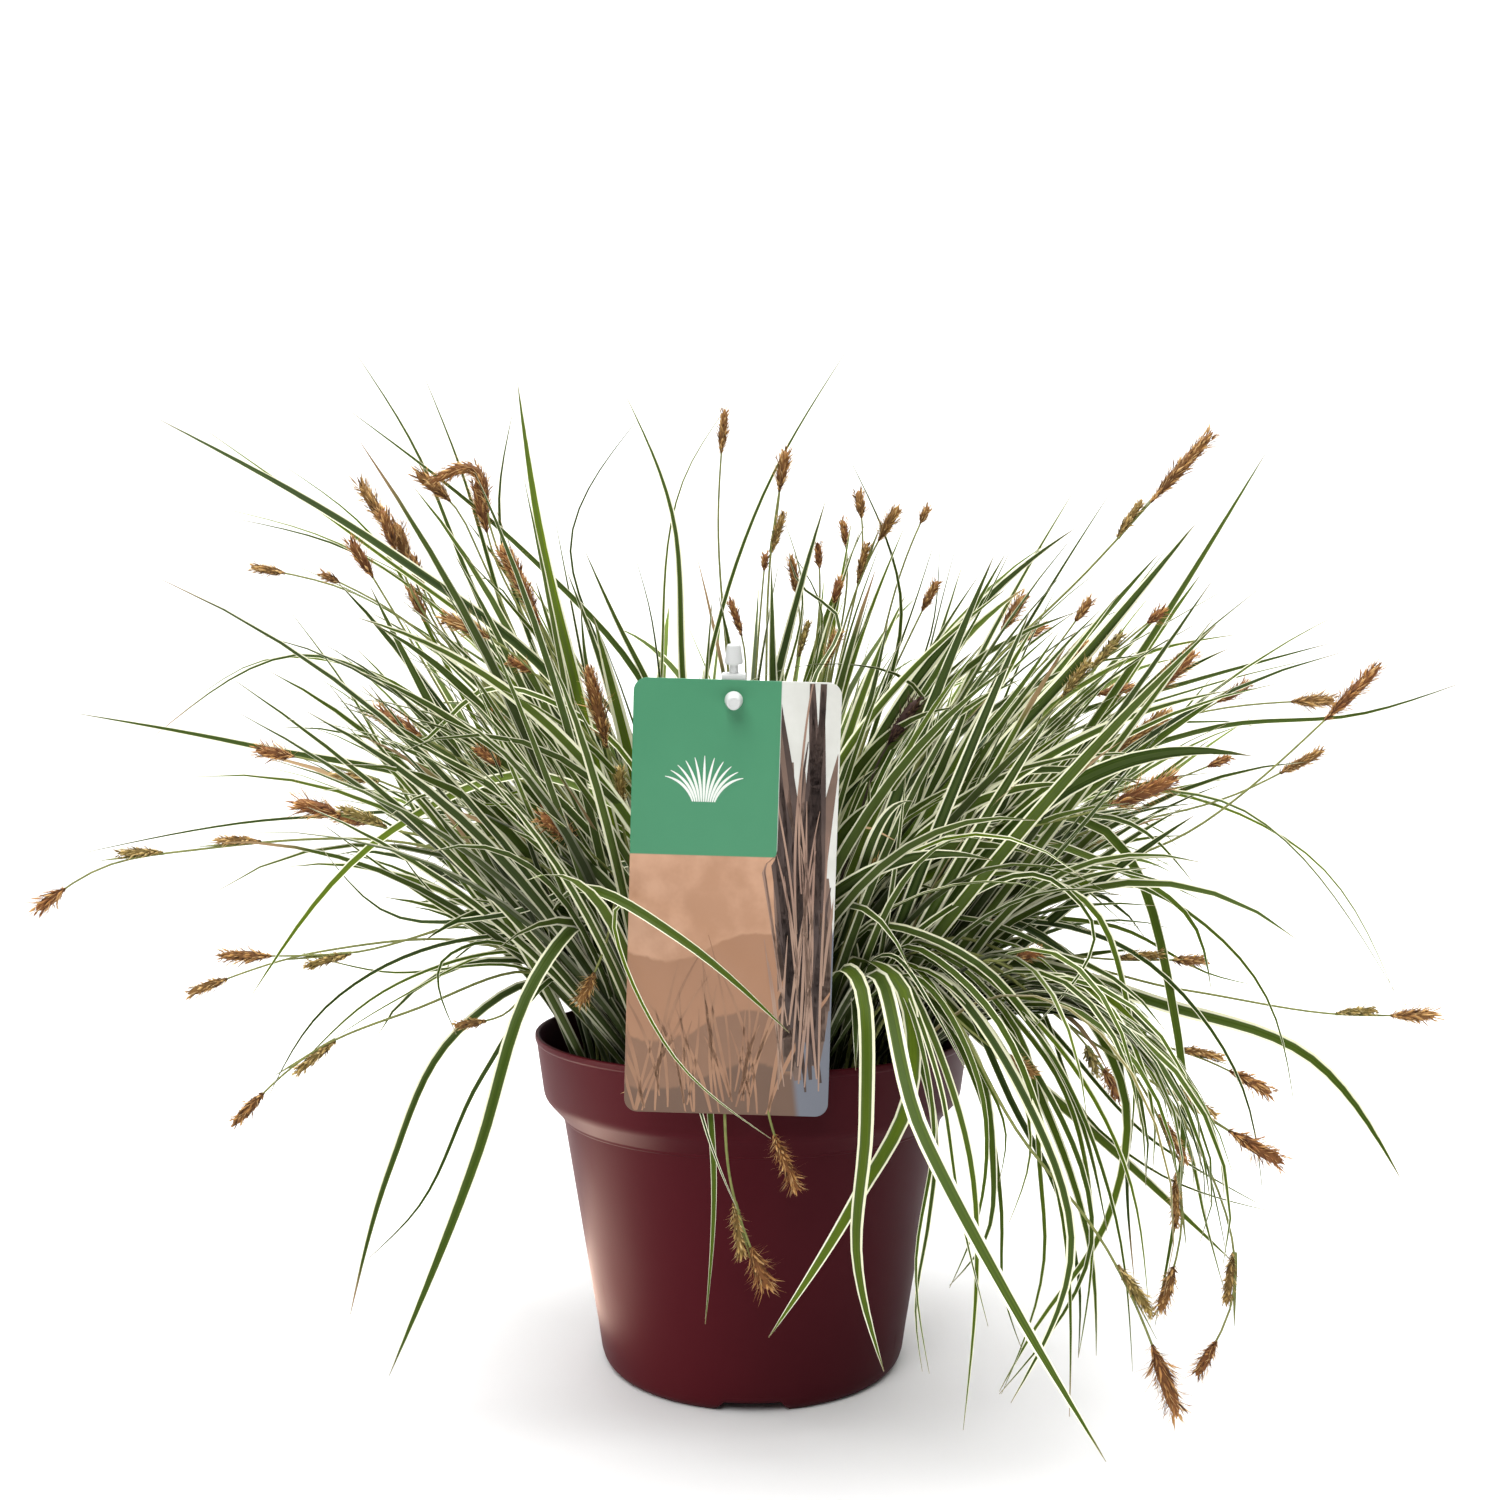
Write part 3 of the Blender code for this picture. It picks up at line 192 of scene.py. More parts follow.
# Stems, as (end spike's length and radius, where side spikes start below the tip, places)
FLOWER_STEMS = (
    (17, 4.6, (48, 88), (-110, 207, -5), (-245, 221, -8), (-290, 212, -8), (-317, 194, -8)),
    (20, 3.8, (38,), (-95, 166, -40), (-150, 150, -60), (-195, 131, -65), (-230, 99, -70)),
    (22, 4.0, (40,), (-100, 188, -45), (-180, 175, -50), (-236, 174, -50)),
    (20, 3.8, (), (-100, 172, 10), (-190, 176, 5), (-250, 157, 0)),
    (20, 4.4, (38,), (-120, 228, -60), (-185, 258, -65), (-220, 265, -65)),
    (19, 5.4, (22,), (-90, 212, -70), (-160, 230, -80), (-203, 242, -85)),
    (22, 3.8, (), (-115, 290, 50), (-180, 336, 50), (-222, 346, 50)),
    (20, 4.2, (), (-120, 260, -20), (-158, 325, -20), (-178, 358, -20)),
    (24, 4.6, (), (-105, 280, 10), (-148, 330, 10), (-164, 372, 10)),
    (32, 4.4, (), (-88, 300, -10), (-115, 360, -10), (-124, 390, -10), (-143, 383, -10)),
    (32, 4.6, (), (-66, 260, -35), (-92, 318, -40), (-112, 356, -40)),
    (22, 4.2, (), (-80, 280, -75), (-112, 312, -80), (-138, 324, -82)),
    (24, 4.2, (), (-100, 240, -60), (-146, 271, -65), (-168, 283, -68)),
    (34, 4.4, (44,), (-56, 225, -78), (-65, 268, -82), (-73, 303, -84)),
    (20, 4.4, (), (-60, 208, -78), (-80, 226, -92), (-94, 236, -96)),
    (22, 3.6, (), (-10, 290, 20), (-15, 370, 20), (-12, 416, 20)),
    (22, 4.4, (30,), (6, 290, -5), (8, 350, -5), (15, 398, -5)),
    (24, 3.8, (36,), (14, 270, 70), (21, 325, 75), (17, 351, 75)),
    (19, 4.2, (), (38, 300, 60), (49, 360, 60), (47, 380, 60)),
    (20, 4.2, (26,), (30, 280, 20), (54, 354, 15), (65, 373, 10)),
    (24, 4.4, (), (80, 270, 20), (108, 314, 20), (121, 334, 20)),
    (42, 4.6, (44,), (95, 290, -30), (150, 346, -30), (204, 406, -30)),
    (27, 5.0, (), (120, 235, -30), (174, 287, -40), (196, 309, -42)),
    (34, 5.2, (), (100, 215, -50), (158, 262, -55), (186, 283, -58)),
    (34, 4.4, (), (110, 190, -15), (200, 233, -20), (252, 277, -25), (278, 303, -25)),
    (24, 5.0, (), (120, 250, 30), (200, 282, 40), (258, 287, 45)),
    (30, 5.4, (), (100, 222, -75), (160, 241, -85), (188, 253, -88)),
    (28, 4.6, (34,), (110, 170, 20), (190, 159, 5), (260, 148, 0), (303, 148, 0)),
    (22, 4.0, (30,), (100, 172, -60), (160, 141, -75), (200, 128, -80), (230, 113, -82)),
    (27, 4.6, (34,), (90, 175, -75), (150, 136, -95), (200, 103, -105), (235, 82, -108)),
    (28, 4.2, (30,), (70, 180, -90), (120, 160, -118), (148, 134, -125), (163, 110, -127)),
    (28, 4.8, (40,), (76, 160, -95), (120, 92, -135), (153, 50, -145), (188, -30, -150)),
    (20, 4.2, (22,), (-16, 160, -94), (-13, 125, -100), (-9, 70, -108), (6, 26, -112)),
    (24, 4.2, (), (60, 250, 110), (100, 300, 150), (130, 320, 170)),
)

# Finer leaves of the front view that are left to the look, given as the leading ones are
FINE_LEAVES = (
    (2.4, (-134, 300, 20), (-170, 362, 25), (-206, 390, 30)),
    (2.6, (-120, 310, 10), (-180, 355, 15), (-235, 372, 20)),
    (2.4, (-110, 290, 30), (-160, 326, 40), (-205, 348, 45)),
    (2.2, (-100, 300, 50), (-150, 340, 60), (-196, 362, 60)),
    (2.4, (-110, 250, 30), (-170, 300, 30), (-215, 305, 30), (-250, 285, 30)),
    (2.6, (-110, 230, 10), (-200, 235, 10), (-298, 219, 5)),
    (3.5, (-50, 215, -60), (-110, 192, -90), (-160, 192, -95), (-191, 222, -95)),
    (4.0, (-80, 282, -60), (-115, 293, -70), (-155, 266, -75), (-176, 285, -75)),
    (2.0, (-100, 178, -40), (-160, 153, -50), (-190, 134, -55)),
    (2.0, (-100, 168, -30), (-165, 167, -40), (-205, 177, -45)),
    (2.4, (-90, 168, -70), (-120, 180, -80), (-137, 172, -85), (-131, 139, -88)),
    (2.6, (-90, 175, -60), (-140, 200, -70), (-160, 226, -72)),
    (2.8, (-85, 160, -60), (-155, 207, -70), (-190, 232, -72)),
    (2.6, (-66, 235, -50), (-110, 241, -60), (-148, 238, -65)),
    (2.4, (-80, 250, -30), (-125, 237, -40), (-148, 210, -45)),
    (2.0, (-60, 290, 20), (-80, 360, 25), (-50, 412, 30)),
    (2.2, (-40, 300, 30), (-28, 390, 30), (-11, 417, 30)),
    (2.6, (-70, 280, 20), (-82, 340, 20), (-87, 366, 20)),
    (2.2, (-40, 290, 10), (-46, 330, 10), (-52, 351, 10)),
    (2.4, (-92, 300, 40), (-118, 341, 45), (-142, 342, 45)),
    (2.6, (8, 270, 40), (22, 340, 45), (14, 367, 48)),
    (2.8, (16, 270, 20), (30, 330, 20), (18, 352, 20)),
    (2.4, (50, 270, 60), (72, 330, 70), (81, 358, 75)),
    (2.2, (60, 270, 50), (80, 320, 60), (83, 355, 60)),
    (2.6, (30, 262, -30), (44, 320, -30), (57, 357, -30)),
    (3.0, (60, 260, -40), (100, 325, -40), (114, 353, -40)),
    (2.6, (110, 270, 60), (165, 330, 65), (185, 356, 70)),
    (2.4, (120, 280, 20), (190, 325, 20), (213, 338, 20)),
    (3.2, (120, 260, 60), (200, 293, 60), (247, 305, 60)),
    (2.8, (60, 300, -60), (20, 302, -70), (-8, 293, -75)),
    (2.6, (110, 240, 20), (190, 245, 20), (250, 215, 20), (286, 153, 20)),
    (2.8, (85, 180, -40), (160, 187, -50), (205, 165, -55), (222, 161, -55)),
    (3.0, (80, 190, -90), (130, 209, -100), (150, 190, -105), (122, 140, -108)),
    (4.2, (55, 187, -80), (100, 170, -100), (135, 125, -110), (157, 51, -115)),
    (2.6, (62, 174, -95), (80, 150, -120), (95, 122, -125)),
    (3.4, (60, 170, -80), (95, 90, -130), (93, -36, -160)),
    (3.2, (70, 175, -80), (120, 130, -110), (150, 48, -130), (109, -20, -150)),
    (3.0, (80, 170, -70), (135, 120, -100), (150, 60, -110), (144, -4, -120)),
    (2.6, (60, 165, -100), (80, 100, -140), (72, 30, -160), (78, -11, -170)),
    (2.8, (70, 165, -95), (102, 110, -130), (100, 60, -140), (87, 27, -145)),
    (2.8, (75, 168, -90), (115, 125, -120), (123, 90, -125), (113, 55, -130)),
    (2.6, (70, 170, -85), (100, 125, -110), (112, 95, -115), (109, 74, -118)),
    (2.6, (100, 160, -50), (180, 90, -70), (228, 62, -75)),
    (3.2, (80, 190, -60), (140, 172, -80), (190, 110, -90), (210, 40, -95)),
    (2.8, (90, 185, -40), (160, 180, -60), (215, 120, -70), (226, 66, -75)),
    (3.4, (70, 180, -80), (120, 150, -105), (165, 80, -120), (175, 20, -128)),
    (3.0, (70, 178, -90), (105, 150, -120), (135, 70, -140), (140, -30, -165)),
    (3.0, (80, 178, -80), (125, 140, -110), (160, 60, -125), (168, -10, -140)),
    (2.6, (60, 168, -95), (82, 120, -130), (92, 60, -145), (104, 10, -155)),
    (2.8, (95, 200, -50), (170, 205, -70), (225, 160, -80), (240, 105, -85)),
    (2.2, (-40, 196, -84), (-60, 196, -108), (-34, 128, -124), (8, 93, -126)),
    (2.2, (-26, 150, -94), (-27, 125, -100), (-20, 95, -104), (-7, 62, -108)),
    (2.6, (-85, 165, -70), (-120, 120, -95), (-150, 60, -105), (-170, 40, -108)),
    (2.4, (-100, 175, -40), (-160, 160, -60), (-205, 120, -65)),
    (2.4, (-90, 180, -60), (-150, 175, -75), (-190, 150, -80), (-215, 110, -82)),
    (4.6, (60, 165, -85), (96, 133, -105), (106, 86, -118), (103, 49, -122), (87, 28, -124)),
    (3.0, (80, 175, -70), (119, 137, -95), (127, 78, -110), (129, 41, -114), (110, -20, -118)),
    (3.6, (84, 165, -80), (117, 104, -100), (135, 69, -108), (144, 33, -112), (144, -4, -114)),
    (4.0, (110, 190, -50), (154, 157, -70), (164, 112, -80), (166, 61, -84), (169, 29, -86)),
    (3.8, (130, 180, -40), (174, 125, -60), (192, 92, -66), (200, 58, -70), (209, 25, -72)),
    (3.2, (56, 166, -95), (72, 133, -112), (81, 92, -124), (78, 58, -128), (72, 17, -130),
     (75, -10, -130)),
    (2.8, (74, 160, -90), (104, 102, -110), (110, 62, -116), (111, 25, -120), (119, 0, -120)),
    (4.0, (130, 165, -70), (165, 110, -95), (158, 60, -108), (123, 6, -116), (109, -19, -116)),
    (2.2, (120, 160, -50), (150, 100, -75), (177, 79, -84), (229, 61, -86)),
    (4.8, (20, 260, 10), (34, 320, 12), (48, 363, 14)),
    (4.4, (26, 262, 20), (36, 320, 22), (44, 366, 24)),
    (3.6, (27, 296, -40), (38, 325, -23), (22, 337, -23), (16, 353, -40)),
    (5.2, (57, 214, -38), (103, 264, -40), (146, 307, -41), (166, 326, -41)),
    (5.6, (62, 176, -41), (107, 217, -47), (142, 234, -48), (176, 240, -48)),
    (5.2, (57, 258, -33), (84, 303, -34), (112, 352, -35)),
    (4.8, (40, 252, -33), (50, 280, -34), (60, 322, -34)),
    (6.0, (92, 248, -28), (124, 286, -30), (162, 334, -32)),
    (5.0, (70, 205, -44), (118, 232, -48), (168, 232, -50), (196, 205, -51)),
    (5.4, (52, 200, -43), (84, 250, -44), (118, 292, -44), (136, 318, -44)),
    (5.0, (-70, 230, -38), (-98, 285, -40), (-120, 330, -40), (-132, 352, -40)),
    (5.6, (-62, 240, -37), (-80, 290, -38), (-96, 340, -38)),
    (5.2, (-84, 215, -33), (-120, 262, -34), (-150, 302, -34)),
    (4.8, (-56, 262, -36), (-66, 300, -37), (-82, 344, -37)),
    (5.0, (-66, 205, -42), (-96, 244, -45), (-128, 268, -46), (-150, 282, -46)),
    (4.6, (-52, 225, -41), (-64, 262, -42), (-74, 306, -42), (-76, 330, -42)),
)

# Stems that are left to the look, given likewise, and which of them has an almost black spike
DARK_STEM = 15
FINE_STEMS = (
    (11, 3.2, (), (-110, 280, 20), (-165, 330, 20), (-191, 343, 20)),
    (19, 4.0, (), (-110, 280, 0), (-143, 330, 0), (-151, 352, 0)),
    (18, 3.8, (), (-80, 220, -40), (-150, 228, -50), (-186, 236, -52)),
    (14, 3.0, (), (-90, 170, -50), (-112, 147, -75), (-132, 143, -78)),
    (14, 3.6, (), (-60, 200, -80), (-66, 176, -100), (-77, 152, -105)),
    (12, 3.4, (), (-44, 150, -90), (-47, 128, -96), (-53, 114, -96)),
    (34, 4.0, (), (-70, 260, -40), (-94, 320, -50), (-109, 354, -52)),
    (13, 3.2, (), (-60, 260, -50), (-95, 298, -60), (-108, 305, -62)),
    (12, 3.0, (), (0, 270, 40), (4, 330, 40), (6, 352, 40)),
    (20, 3.2, (), (-4, 270, 60), (-4, 313, 60), (-10, 332, 60)),
    (14, 3.2, (), (24, 280, 40), (30, 340, 40), (29, 357, 40)),
    (16, 3.2, (), (34, 290, 30), (42, 350, 30), (40, 367, 30)),
    (14, 3.4, (), (50, 280, 50), (70, 355, 50), (78, 373, 50)),
    (17, 3.6, (), (50, 270, 30), (72, 320, 30), (82, 340, 30)),
    (19, 3.2, (), (28, 270, -20), (31, 298, -20), (38, 318, -20)),
    (24, 4.4, (), (46, 230, -78), (54, 256, -82), (74, 288, -84)),
    (12, 3.2, (), (46, 195, -84), (50, 208, -88), (59, 217, -90)),
    (17, 3.8, (), (90, 260, 30), (138, 315, 40), (150, 332, 40)),
    (15, 3.6, (), (90, 260, -20), (135, 300, -20), (148, 313, -20)),
    (12, 3.6, (22, 38), (95, 240, -50), (150, 300, -60), (182, 327, -60)),
    (22, 3.8, (), (100, 240, 30), (148, 288, 30), (171, 293, 30)),
    (24, 4.2, (), (110, 240, 50), (195, 280, 60), (221, 295, 60)),
    (27, 3.8, (), (110, 210, 10), (220, 248, 20), (253, 265, 20)),
    (15, 3.4, (), (110, 220, 20), (190, 253, 20), (212, 262, 20)),
    (16, 3.6, (22,), (100, 170, -40), (170, 172, -60), (201, 172, -62)),
    (17, 3.4, (34,), (80, 180, -60), (185, 110, -80), (212, 20, -90), (196, -12, -95)),
    (18, 3.8, (36, 60), (80, 175, -70), (170, 120, -90), (190, 60, -100), (180, 16, -110)),
    (16, 3.2, (), (70, 160, -90), (105, 134, -115), (126, 121, -118)),
    (12, 3.0, (), (70, 175, -80), (112, 172, -95), (128, 176, -98)),
    (24, 3.4, (), (0, 150, -94), (4, 125, -101), (8, 100, -105), (20, 70, -110)),
    (18, 4.2, (20,), (-14, 150, -94), (-13, 125, -100), (-9, 70, -106), (7, 26, -110)),
    (28, 5.0, (), (-88, 300, -5), (-116, 356, -5), (-122, 385, -5)),
    (25, 5.2, (), (-92, 285, 0), (-120, 350, 0), (-131, 372, 0), (-149, 388, 0)),
    (30, 4.8, (), (-110, 280, 15), (-150, 345, 15), (-174, 384, 15)),
    (24, 5.4, (), (-105, 270, 12), (-145, 330, 12), (-158, 366, 12)),
    (19, 4.2, (), (-100, 270, 10), (-138, 312, 10), (-152, 337, 10)),
    (13, 3.4, (), (-80, 235, -70), (-110, 257, -78), (-123, 266, -80)),
    (12, 3.4, (), (-80, 240, -50), (-106, 272, -55), (-116, 281, -56)),
    (14, 3.6, (), (26, 270, 10), (35, 325, 10), (39, 341, 10)),
    (10, 3.2, (), (30, 270, -10), (36, 308, -10), (39, 318, -10)),
)


# Curves and placing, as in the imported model

def seen(across, up, depth):
    """The place, at that depth, of a point seen at (across, up) on the plane through the pot's
    axis."""
    nearer = (EYE_DISTANCE + depth) / EYE_DISTANCE
    return (across * nearer, depth, EYE_HEIGHT + (up - EYE_HEIGHT) * nearer)


def unit(vectors):
    """Each row scaled to length 1."""
    return vectors / np.linalg.norm(vectors, axis=-1, keepdims=True)


def even_points(fine, count):
    """That many points, evenly spaced along the line of fine points."""
    along = np.concatenate([[0], np.cumsum(np.linalg.norm(np.diff(fine, axis=0), axis=1))])
    wanted = np.linspace(0, along[-1], count)
    return np.stack([np.interp(wanted, along, fine[:, k]) for k in range(3)], axis=1)


def smooth_path(knots, count):
    """Evenly spaced points on a curve through the knots. Between two knots the curve is a cubic
    whose end slopes are the mean of the neighbouring chords, the nearer one counting more."""
    knots = np.asarray(knots, float)
    steps = np.linalg.norm(np.diff(knots, axis=0), axis=1)
    chords = np.diff(knots, axis=0) / steps[:, None]
    slopes = np.empty_like(knots)
    share = (steps[:-1] / (steps[:-1] + steps[1:]))[:, None]
    slopes[1:-1] = chords[:-1] * (1 - share) + chords[1:] * share
    slopes[0] = (3 * chords[0] - slopes[1]) / 2
    slopes[-1] = (3 * chords[-1] - slopes[-2]) / 2
    t = np.linspace(0, 1, 24, endpoint=False)[:, None]
    pieces = []
    for i, step in enumerate(steps):
        pieces.append(
            (2 * t**3 - 3 * t**2 + 1) * knots[i]
            + (t**3 - 2 * t**2 + t) * step * slopes[i]
            + (3 * t**2 - 2 * t**3) * knots[i + 1]
            + (t**3 - t**2) * step * slopes[i + 1]
        )
    return even_points(np.vstack(pieces + [knots[-1:]]), count)


def arching_path(root, heading, lean, bend, length, count):
    """A blade that leaves its root at that lean from upright and has leaned further, by bend, at
    its tip. Most of the bend is in the outer half, and the heading swings a little with it."""
    share = np.linspace(0, 1, 25)
    leans = lean + bend * share**1.6
    headings = heading + 0.25 * np.sin(lean * 7.0) * share
    level = np.sin(leans)
    steps = np.stack([level * np.cos(headings), level * np.sin(headings), np.cos(leans)], 1)
    fine = np.vstack([[0, 0, 0], np.cumsum((steps[1:] + steps[:-1]) / 2, axis=0) * length / 24])
    return even_points(np.asarray(root) + fine, count)


def segment_gaps(a0, a1, b0, b1):
    """The shortest distance between each segment a and each segment b, as an array of a by b. The
    nearest points of the two lines are found first and then kept within the segments."""
    u, v = (a1 - a0)[:, None], (b1 - b0)[None]
    w = a0[:, None] - b0[None]
    uu, uv, vv = (u * u).sum(-1), (u * v).sum(-1), (v * v).sum(-1)
    uw, vw = (u * w).sum(-1), (v * w).sum(-1)
    s = np.clip((uv * vw - vv * uw) / np.maximum(uu * vv - uv * uv, 1e-9), 0, 1)
    t = np.clip((uv * s + vw) / vv, 0, 1)
    s = np.clip((uv * t - uw) / uu, 0, 1)
    return np.linalg.norm(w + s[..., None] * u - t[..., None] * v, axis=-1)


class Space:
    """What already stands, as thick segments with the number of the node that each belongs to."""

    def __init__(self):
        self.starts, self.ends, self.radii = np.empty((0, 3)), np.empty((0, 3)), np.empty(0)
        self.owners, self.at_root = np.empty(0, int), np.empty(0, bool)

    def add(self, points, radii, owner):
        self.starts = np.vstack([self.starts, points[:-1]])
        self.ends = np.vstack([self.ends, points[1:]])
        self.radii = np.concatenate([self.radii, np.maximum(radii[:-1], radii[1:])])
        self.owners = np.concatenate([self.owners, np.full(len(points) - 1, owner)])
        self.at_root = np.concatenate([self.at_root, np.arange(len(points) - 1) == 0])

    def spare(self, points, radii, owner):
        """How far the line stays from all that stands, less both thicknesses. Only the first
        segments of blades from one crown may meet."""
        if not len(self.radii):
            return math.inf
        gaps = segment_gaps(points[:-1], points[1:], self.starts, self.ends)
        gaps -= np.maximum(radii[:-1], radii[1:])[:, None] + self.radii
        first = np.arange(len(points) - 1)[:, None] == 0
        gaps[(self.owners == owner) & (first | self.at_root)] = math.inf
        return float(gaps.min())


def pot_radius(height):
    """The pot's outer radius at that height."""
    heights = (0, FOOT_BEVEL, SHOULDER_HEIGHT, BAND_HEIGHT, RIM_HEIGHT)
    radii = (FOOT_RADIUS - FOOT_BEVEL, FOOT_RADIUS, SHOULDER_RADIUS, BAND_RADIUS, RIM_RADIUS)
    return np.interp(height, heights, radii)


def label_matrix():
    """Places the label's own frame: x across, y up from the peg hole and z towards the viewer."""
    turn = Matrix.Rotation(LABEL_ROLL, 4, "Y") @ Matrix.Rotation(math.pi / 2 - LABEL_TILT, 4, "X")
    return Matrix.Translation(PEG) @ turn


def stake_matrix():
    """Places the stake's own frame: x across, z up the stake and -y towards the label."""
    return Matrix.Translation(PEG) @ Matrix.Rotation(STAKE_LEAN, 4, "X")


def clear_of_holder(points, radii):
    """True where the line keeps off the pot's wall, the soil, the floor, the label and the
    stake."""
    dense = even_points(points, TEST_POINTS)
    thick = np.interp(np.linspace(0, 1, TEST_POINTS), np.linspace(0, 1, len(radii)), radii)
    away = np.hypot(dense[:, 0], dense[:, 1])
    wall = pot_radius(dense[:, 2])
    beside = dense[:, 2] < RIM_HEIGHT + thick + 1
    if (beside & (away > wall - WALL - thick - 1.5) & (away < wall + thick + 1)).any():
        return False
    past_root, over_pot = dense[6:, 2], away[6:] < RIM_RADIUS
    if (past_root < SOIL_HEIGHT + SOIL_DOME + 1)[over_pot].any():
        return False
    if dense[:, 2].min() < FLOOR_CLEARANCE:
        return False
    for matrix, (low, high) in ((label_matrix(), LABEL_ROOM), (stake_matrix(), STAKE_ROOM)):
        own = np.hstack([dense, np.ones((len(dense), 1))]) @ np.array(matrix.inverted()).T
        within = (own[:, :3] + thick[:, None] > low) & (own[:, :3] - thick[:, None] < high)
        if within.all(axis=1).any():
            return False
    return True


def tuft_places():
    """Crown centres spread evenly over the soil, each a golden angle on from the last."""
    turns = np.arange(TUFTS)
    radii = CLUMP_RADIUS * np.sqrt((turns + 0.5) / TUFTS)
    angles = turns * GOLDEN_ANGLE + 0.4
    return np.stack([radii * np.cos(angles), radii * np.sin(angles)], axis=1)


def root_places(first, spots):
    """The spots, likeliest first, that a blade or stem through this first point grows from: outer
    ones lean, inner ones stand up."""
    first = np.asarray(first, float)
    flat = first[:2]
    out = np.hypot(*flat)
    rise = max(first[2] - SOIL_HEIGHT, 20.0)
    wanted = flat / max(out, 1e-6) * min(CLUMP_RADIUS, out * 60.0 / (rise + 20.0))
    return np.argsort(np.linalg.norm(spots - wanted, axis=1))


def blade_radii(width, count):
    """Half the blade's width at each ring: narrow in its sheath, then even, then a long point."""
    share = np.linspace(0, 1, count)
    return width / 2 * (0.55 + 0.45 * np.minimum(share / 0.25, 1)) * (1 - share**2.4) + 0.05


def ring_count(points):
    """Four or five rings on a straight blade and up to eight on one that droops right over."""
    headings = unit(np.diff(points, axis=0))
    turned = np.arccos(np.clip((headings[:-1] * headings[1:]).sum(1), -1, 1)).sum()
    return int(min(8, 4 + turned // 0.55))


def shifted(through, shift):
    """The points that the front view shows, all set deeper by shift, which grows towards the
    tip."""
    return [seen(x, z, y + shift * (0.4 + 0.6 * i)) for i, (x, z, y) in enumerate(through)]


def first_that_fits(space, tries):
    """The first of the tries with room for itself, where each is (owner, points, radii, the rest),
    or None if there is none."""
    for owner, points, radii, *rest in tries:
        if clear_of_holder(points, radii) and space.spare(points, radii, owner) > BLADE_CLEARANCE:
            space.add(points, radii, owner)
            return (owner, points, radii, *rest)
    return None


def crown_spot(centre, heading, out):
    """A root inside the crown, on the side that its blade leans to and just above the soil."""
    x, y = centre[0] + out * math.cos(heading), centre[1] + out * math.sin(heading)
    return (x, y, SOIL_HEIGHT + 4)


def leaf_line(centre, out, knots):
    """A leaf's fine line, from that far out in its crown and on through the knots."""
    heading = math.atan2(knots[0][1] - centre[1], knots[0][0] - centre[0])
    return smooth_path([crown_spot(centre, heading, out), *knots], LEAF_POINTS)


def stem_line(spot, knots):
    """A stem's fine line, straight up through the soil and on through the knots."""
    low, high = (*spot, SOIL_HEIGHT - 8), (*spot, SOIL_HEIGHT + 6)
    return smooth_path([low, high, *knots], STEM_POINTS)


def place_leading_leaves(space, tufts):
    """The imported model's leading leaves, as (tuft, fine line, width, whether wide)."""
    leaves = []
    for width, *through in LEADING_LEAVES:
        def tries():
            for tuft in root_places(seen(*through[0]), tufts)[:4]:
                for shift in sorted(range(-64, 65, 4), key=abs):
                    fine = leaf_line(tufts[tuft], 4.5, shifted(through, shift))
                    points = even_points(fine, ring_count(fine[::5]))
                    yield tuft, points, blade_radii(width, len(points)), fine
        found = first_that_fits(space, tries())
        if found:
            leaves.append((found[0], found[3], width, True))
    return leaves


def place_filler_leaves(space, tufts, draw):
    """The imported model's other leaves, drawn from the same seed."""
    leaves, tries = [], 0
    while len(leaves) < FILLER_LEAVES and tries < MOST_TRIES:
        tries += 1
        tuft = tries % TUFTS
        centre = tufts[tuft]
        out = np.hypot(*centre) / CLUMP_RADIUS
        heading = math.atan2(centre[1], centre[0]) + draw.normal(0, 0.35 + 0.8 * (1 - out))
        lean = math.radians(draw.uniform(4, 18) + out * draw.uniform(14, 34))
        bend = math.radians(draw.uniform(12, 70) + 40 * draw.random() ** 3)
        length = draw.uniform(150, 215) + 75 * abs(math.cos(heading)) * draw.random()
        width = draw.uniform(3.0, 5.4)
        root = crown_spot(centre, heading, 1.0 + 5.0 * min(lean / 0.8, 1))
        fine = arching_path(root, heading, lean, bend, length, LEAF_POINTS)
        if np.abs(fine[:, 0]).max() > FILLER_ACROSS or np.abs(fine[:, 1]).max() > FILLER_DEEP:
            continue
        points = even_points(fine, ring_count(fine[::5]))
        draw.normal(0, 0.6, 2)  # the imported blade's facing, which the look doesn't need
        if first_that_fits(space, [(tuft, points, blade_radii(width, len(points)))]):
            leaves.append((tuft, fine, width, False))
    return leaves


def place_fine_leaves(tufts, draw):
    """The look's own leaves of the front view, each from the crown that suits it best."""
    leaves = []
    for width, *through in FINE_LEAVES:
        knots = shifted(through, 0)
        tuft = root_places(knots[0], tufts)[0]
        leaves.append((tuft, leaf_line(tufts[tuft], draw.uniform(2, 6), knots), width, True))
    return leaves


def grows_free(fine, width, outline):
    """True for a blade that keeps within the outline as the front view shows it, apart from its
    foot and its tip, and off the label's face, the pot, the stake and the floor."""
    nearer = EYE_DISTANCE / (EYE_DISTANCE + fine[:, 1])
    across, up = fine[:, 0] * nearer, EYE_HEIGHT + (fine[:, 2] - EYE_HEIGHT) * nearer
    hidden = (fine[:, 1] > HIDDEN_DEPTH) & (np.abs(across) < HIDDEN_HALF) & (up < HIDDEN_HEIGHT)
    if not (hidden | inside(outline, across, up))[FREE_RINGS].all():
        return False
    over_label = (np.abs(across - LABEL_MIDDLE) < LABEL_HALF) & (up < LABEL_TOP)
    if (over_label & (fine[:, 1] < LABEL_FACE)).any():
        return False
    if np.abs(fine[:, 1]).max() > MOST_DEEP or fine[:, 2].max() > MOST_HIGH:
        return False
    return clear_of_holder(fine, blade_radii(width, LEAF_POINTS))


